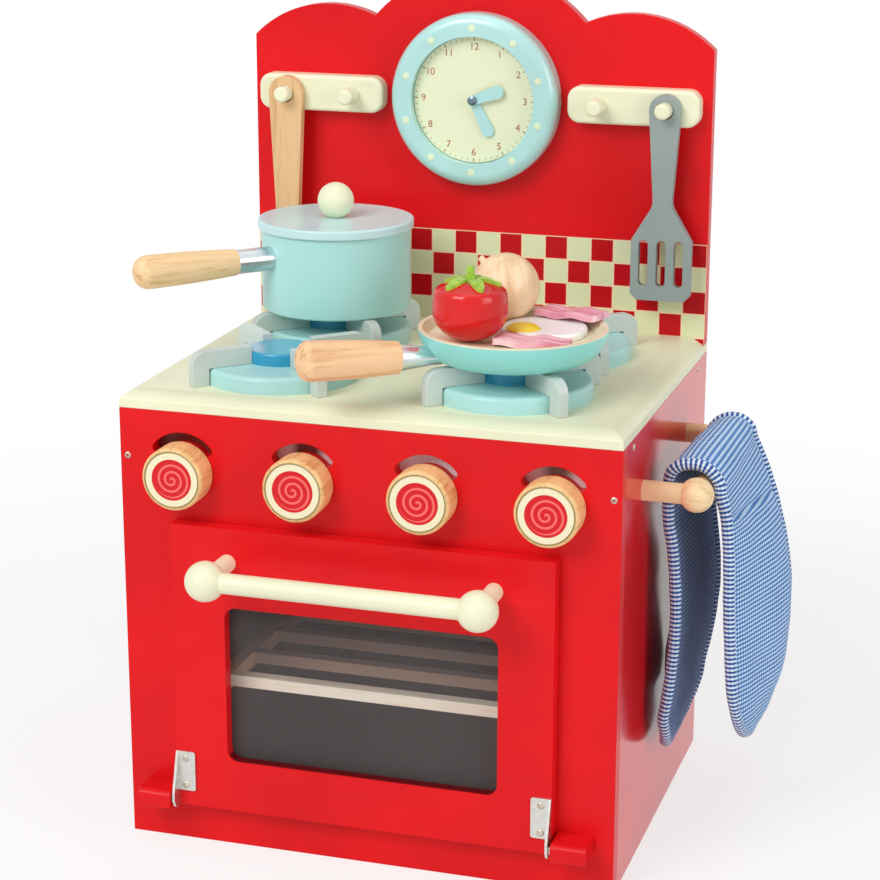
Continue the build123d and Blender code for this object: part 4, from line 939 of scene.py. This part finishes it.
edge, edge_length = even_loop([middle[j][i] for i, j in rim],
                              [inner_normal(i, j) for i, j in rim], BINDING_STEPS)
edge_line, edge_normal = [point for point, _ in edge], [normal for _, normal in edge]
for _ in range(4):
    edge_line, edge_normal = ease_loop(edge_line), ease_loop(edge_normal)
binding = bmesh.new()
binding_uv = binding.loops.layers.uv.new("cloth")
rings = []
for k, point in enumerate(edge_line):
    ahead = (edge_line[(k + 1) % len(edge_line)] - edge_line[k - 1]).normalized()
    side_way = ahead.cross(edge_normal[k]).normalized()
    up_way = side_way.cross(ahead).normalized()
    swell = 1 + 0.08 * noise.noise(Vector((k / 9.0, 0.3, 7.0)))
    rings.append([binding.verts.new(point + (side_way * math.cos(a) * BINDING_HALF[0]
                                             + up_way * math.sin(a) * BINDING_HALF[1]) * swell * MM)
                  for a in (2 * math.pi * n / SIDES for n in range(SIDES))])
for k in range(len(rings)):
    k2 = (k + 1) % len(rings)
    for n in range(SIDES):
        n2 = (n + 1) % SIDES
        face = binding.faces.new((rings[k][n], rings[k][n2], rings[k2][n2], rings[k2][n]))
        face.smooth = True
        for loop, (kk, nn) in zip(face.loops, ((k, n), (k, n + 1), (k + 1, n + 1), (k + 1, n))):
            loop[binding_uv].uv = (GIRTH * MM * nn / SIDES, edge_length * kk / len(rings))
mitt_binding = piece_from(binding, "mitt_binding", gingham("binding_check", BOUND), "oven_mitt")


# ---------------------------------------------------------------- floor, light and camera
def studio_floor():
    """White paper: seen, it fades to plain white away from the oven; all other light meets matt paper."""
    mesh = bpy.data.meshes.new("floor")
    build = bmesh.new()
    bmesh.ops.create_circle(build, cap_ends=True, segments=96, radius=12.0)
    build.to_mesh(mesh)
    build.free()
    floor = bpy.data.objects.new("floor", mesh)
    scene.collection.objects.link(floor)
    look = Look("floor_paper", Roughness=0.9)
    tone = look.noise(3.0, 2.0)
    look.set("Base Color", look.ramp(tone, (0.3, (0.92, 0.92, 0.92, 1)), (0.7, (0.94, 0.94, 0.94, 1))))
    x, y, _ = look.xyz()
    fade_middle, fade_half = 0.62, 0.36      # metres out from the oven's axis
    rays = look.tree.nodes.new("ShaderNodeLightPath")
    seen = look.math("ADD", rays.outputs["Is Camera Ray"], rays.outputs["Is Glossy Ray"])
    seen = look.math("MINIMUM", look.math("ADD", seen, rays.outputs["Is Transmission Ray"]), 1.0)
    far = look.step(look.reach(x, y), fade_middle, fade_half)
    share = look.node("MapRange", {"Value": far, "To Min": 0.72, "To Max": 1.0})
    share = look.math("MULTIPLY", seen, share)
    white = look.node("Emission", {"Color": (1, 1, 1, 1), "Strength": 1.0})
    made = look.node("MixShader", {0: share, 1: look.shader.outputs[0], 2: white})
    look.tree.links.new(made, look.tree.nodes["Material Output"].inputs["Surface"])
    mesh.materials.append(look.material)


studio_floor()


def area_light(name, place, aim, size, power):
    """A square soft light turned towards a point."""
    data = bpy.data.lights.new(name, "AREA")
    data.shape = "RECTANGLE"
    data.size = size
    data.size_y = size
    data.energy = power
    made = bpy.data.objects.new(name, data)
    made.location = place
    made.rotation_euler = (Vector(aim) - Vector(place)).to_track_quat("-Z", "Y").to_euler()
    scene.collection.objects.link(made)


area_light("key", place=(-1.0, -2.2, 2.15), aim=(0, 0, 0.25), size=1.6, power=52)
area_light("fill", place=(2.6, -1.0, 1.1), aim=(0, 0, 0.25), size=1.4, power=22)
area_light("top", place=(0.1, -0.2, 2.6), aim=(0, 0, 0.2), size=1.6, power=10)

SEEN_STRENGTH = 1.0       # plain white where it is seen, also by reflection
LIGHT_STRENGTH = 0.36     # weaker as a source of light


def studio_world():
    world = bpy.data.worlds.new("studio")
    scene.world = world
    world.use_nodes = True
    made, links = world.node_tree.nodes, world.node_tree.links
    made.clear()
    rays = made.new("ShaderNodeLightPath")
    seen = rays.outputs["Is Camera Ray"]
    for kind in ("Is Glossy Ray", "Is Transmission Ray"):
        either = made.new("ShaderNodeMath")
        either.operation = "MAXIMUM"
        links.new(seen, either.inputs[0])
        links.new(rays.outputs[kind], either.inputs[1])
        seen = either.outputs[0]
    blend = made.new("ShaderNodeMixShader")
    links.new(seen, blend.inputs[0])
    for socket, strength in ((1, LIGHT_STRENGTH), (2, SEEN_STRENGTH)):
        plain = made.new("ShaderNodeBackground")
        plain.inputs["Color"].default_value = (1, 1, 1, 1)
        plain.inputs["Strength"].default_value = strength
        links.new(plain.outputs[0], blend.inputs[socket])
    links.new(blend.outputs[0], made.new("ShaderNodeOutputWorld").inputs["Surface"])


studio_world()

scene.view_settings.view_transform = "Standard"

lens = bpy.data.cameras.new("camera")
lens.sensor_width = 36.0
lens.lens = 96.01
lens.clip_start = 0.05
lens.clip_end = 60.0
camera = bpy.data.objects.new("camera", lens)
AZIMUTH, ELEVATION, ROLL = (math.radians(angle) for angle in (17.19, 16.2, 0.14))
DISTANCE = 1.43694
TARGET = Vector((0.00881, 0.0, 0.22943))
level = math.cos(ELEVATION)
toward = Vector((math.sin(AZIMUTH) * level, -math.cos(AZIMUTH) * level, math.sin(ELEVATION)))
camera.location = TARGET + toward * DISTANCE
upright = (-toward).to_track_quat("-Z", "Y").to_matrix()
camera.rotation_euler = (upright @ Matrix.Rotation(ROLL, 3, "Z")).to_euler()
scene.collection.objects.link(camera)
scene.camera = camera
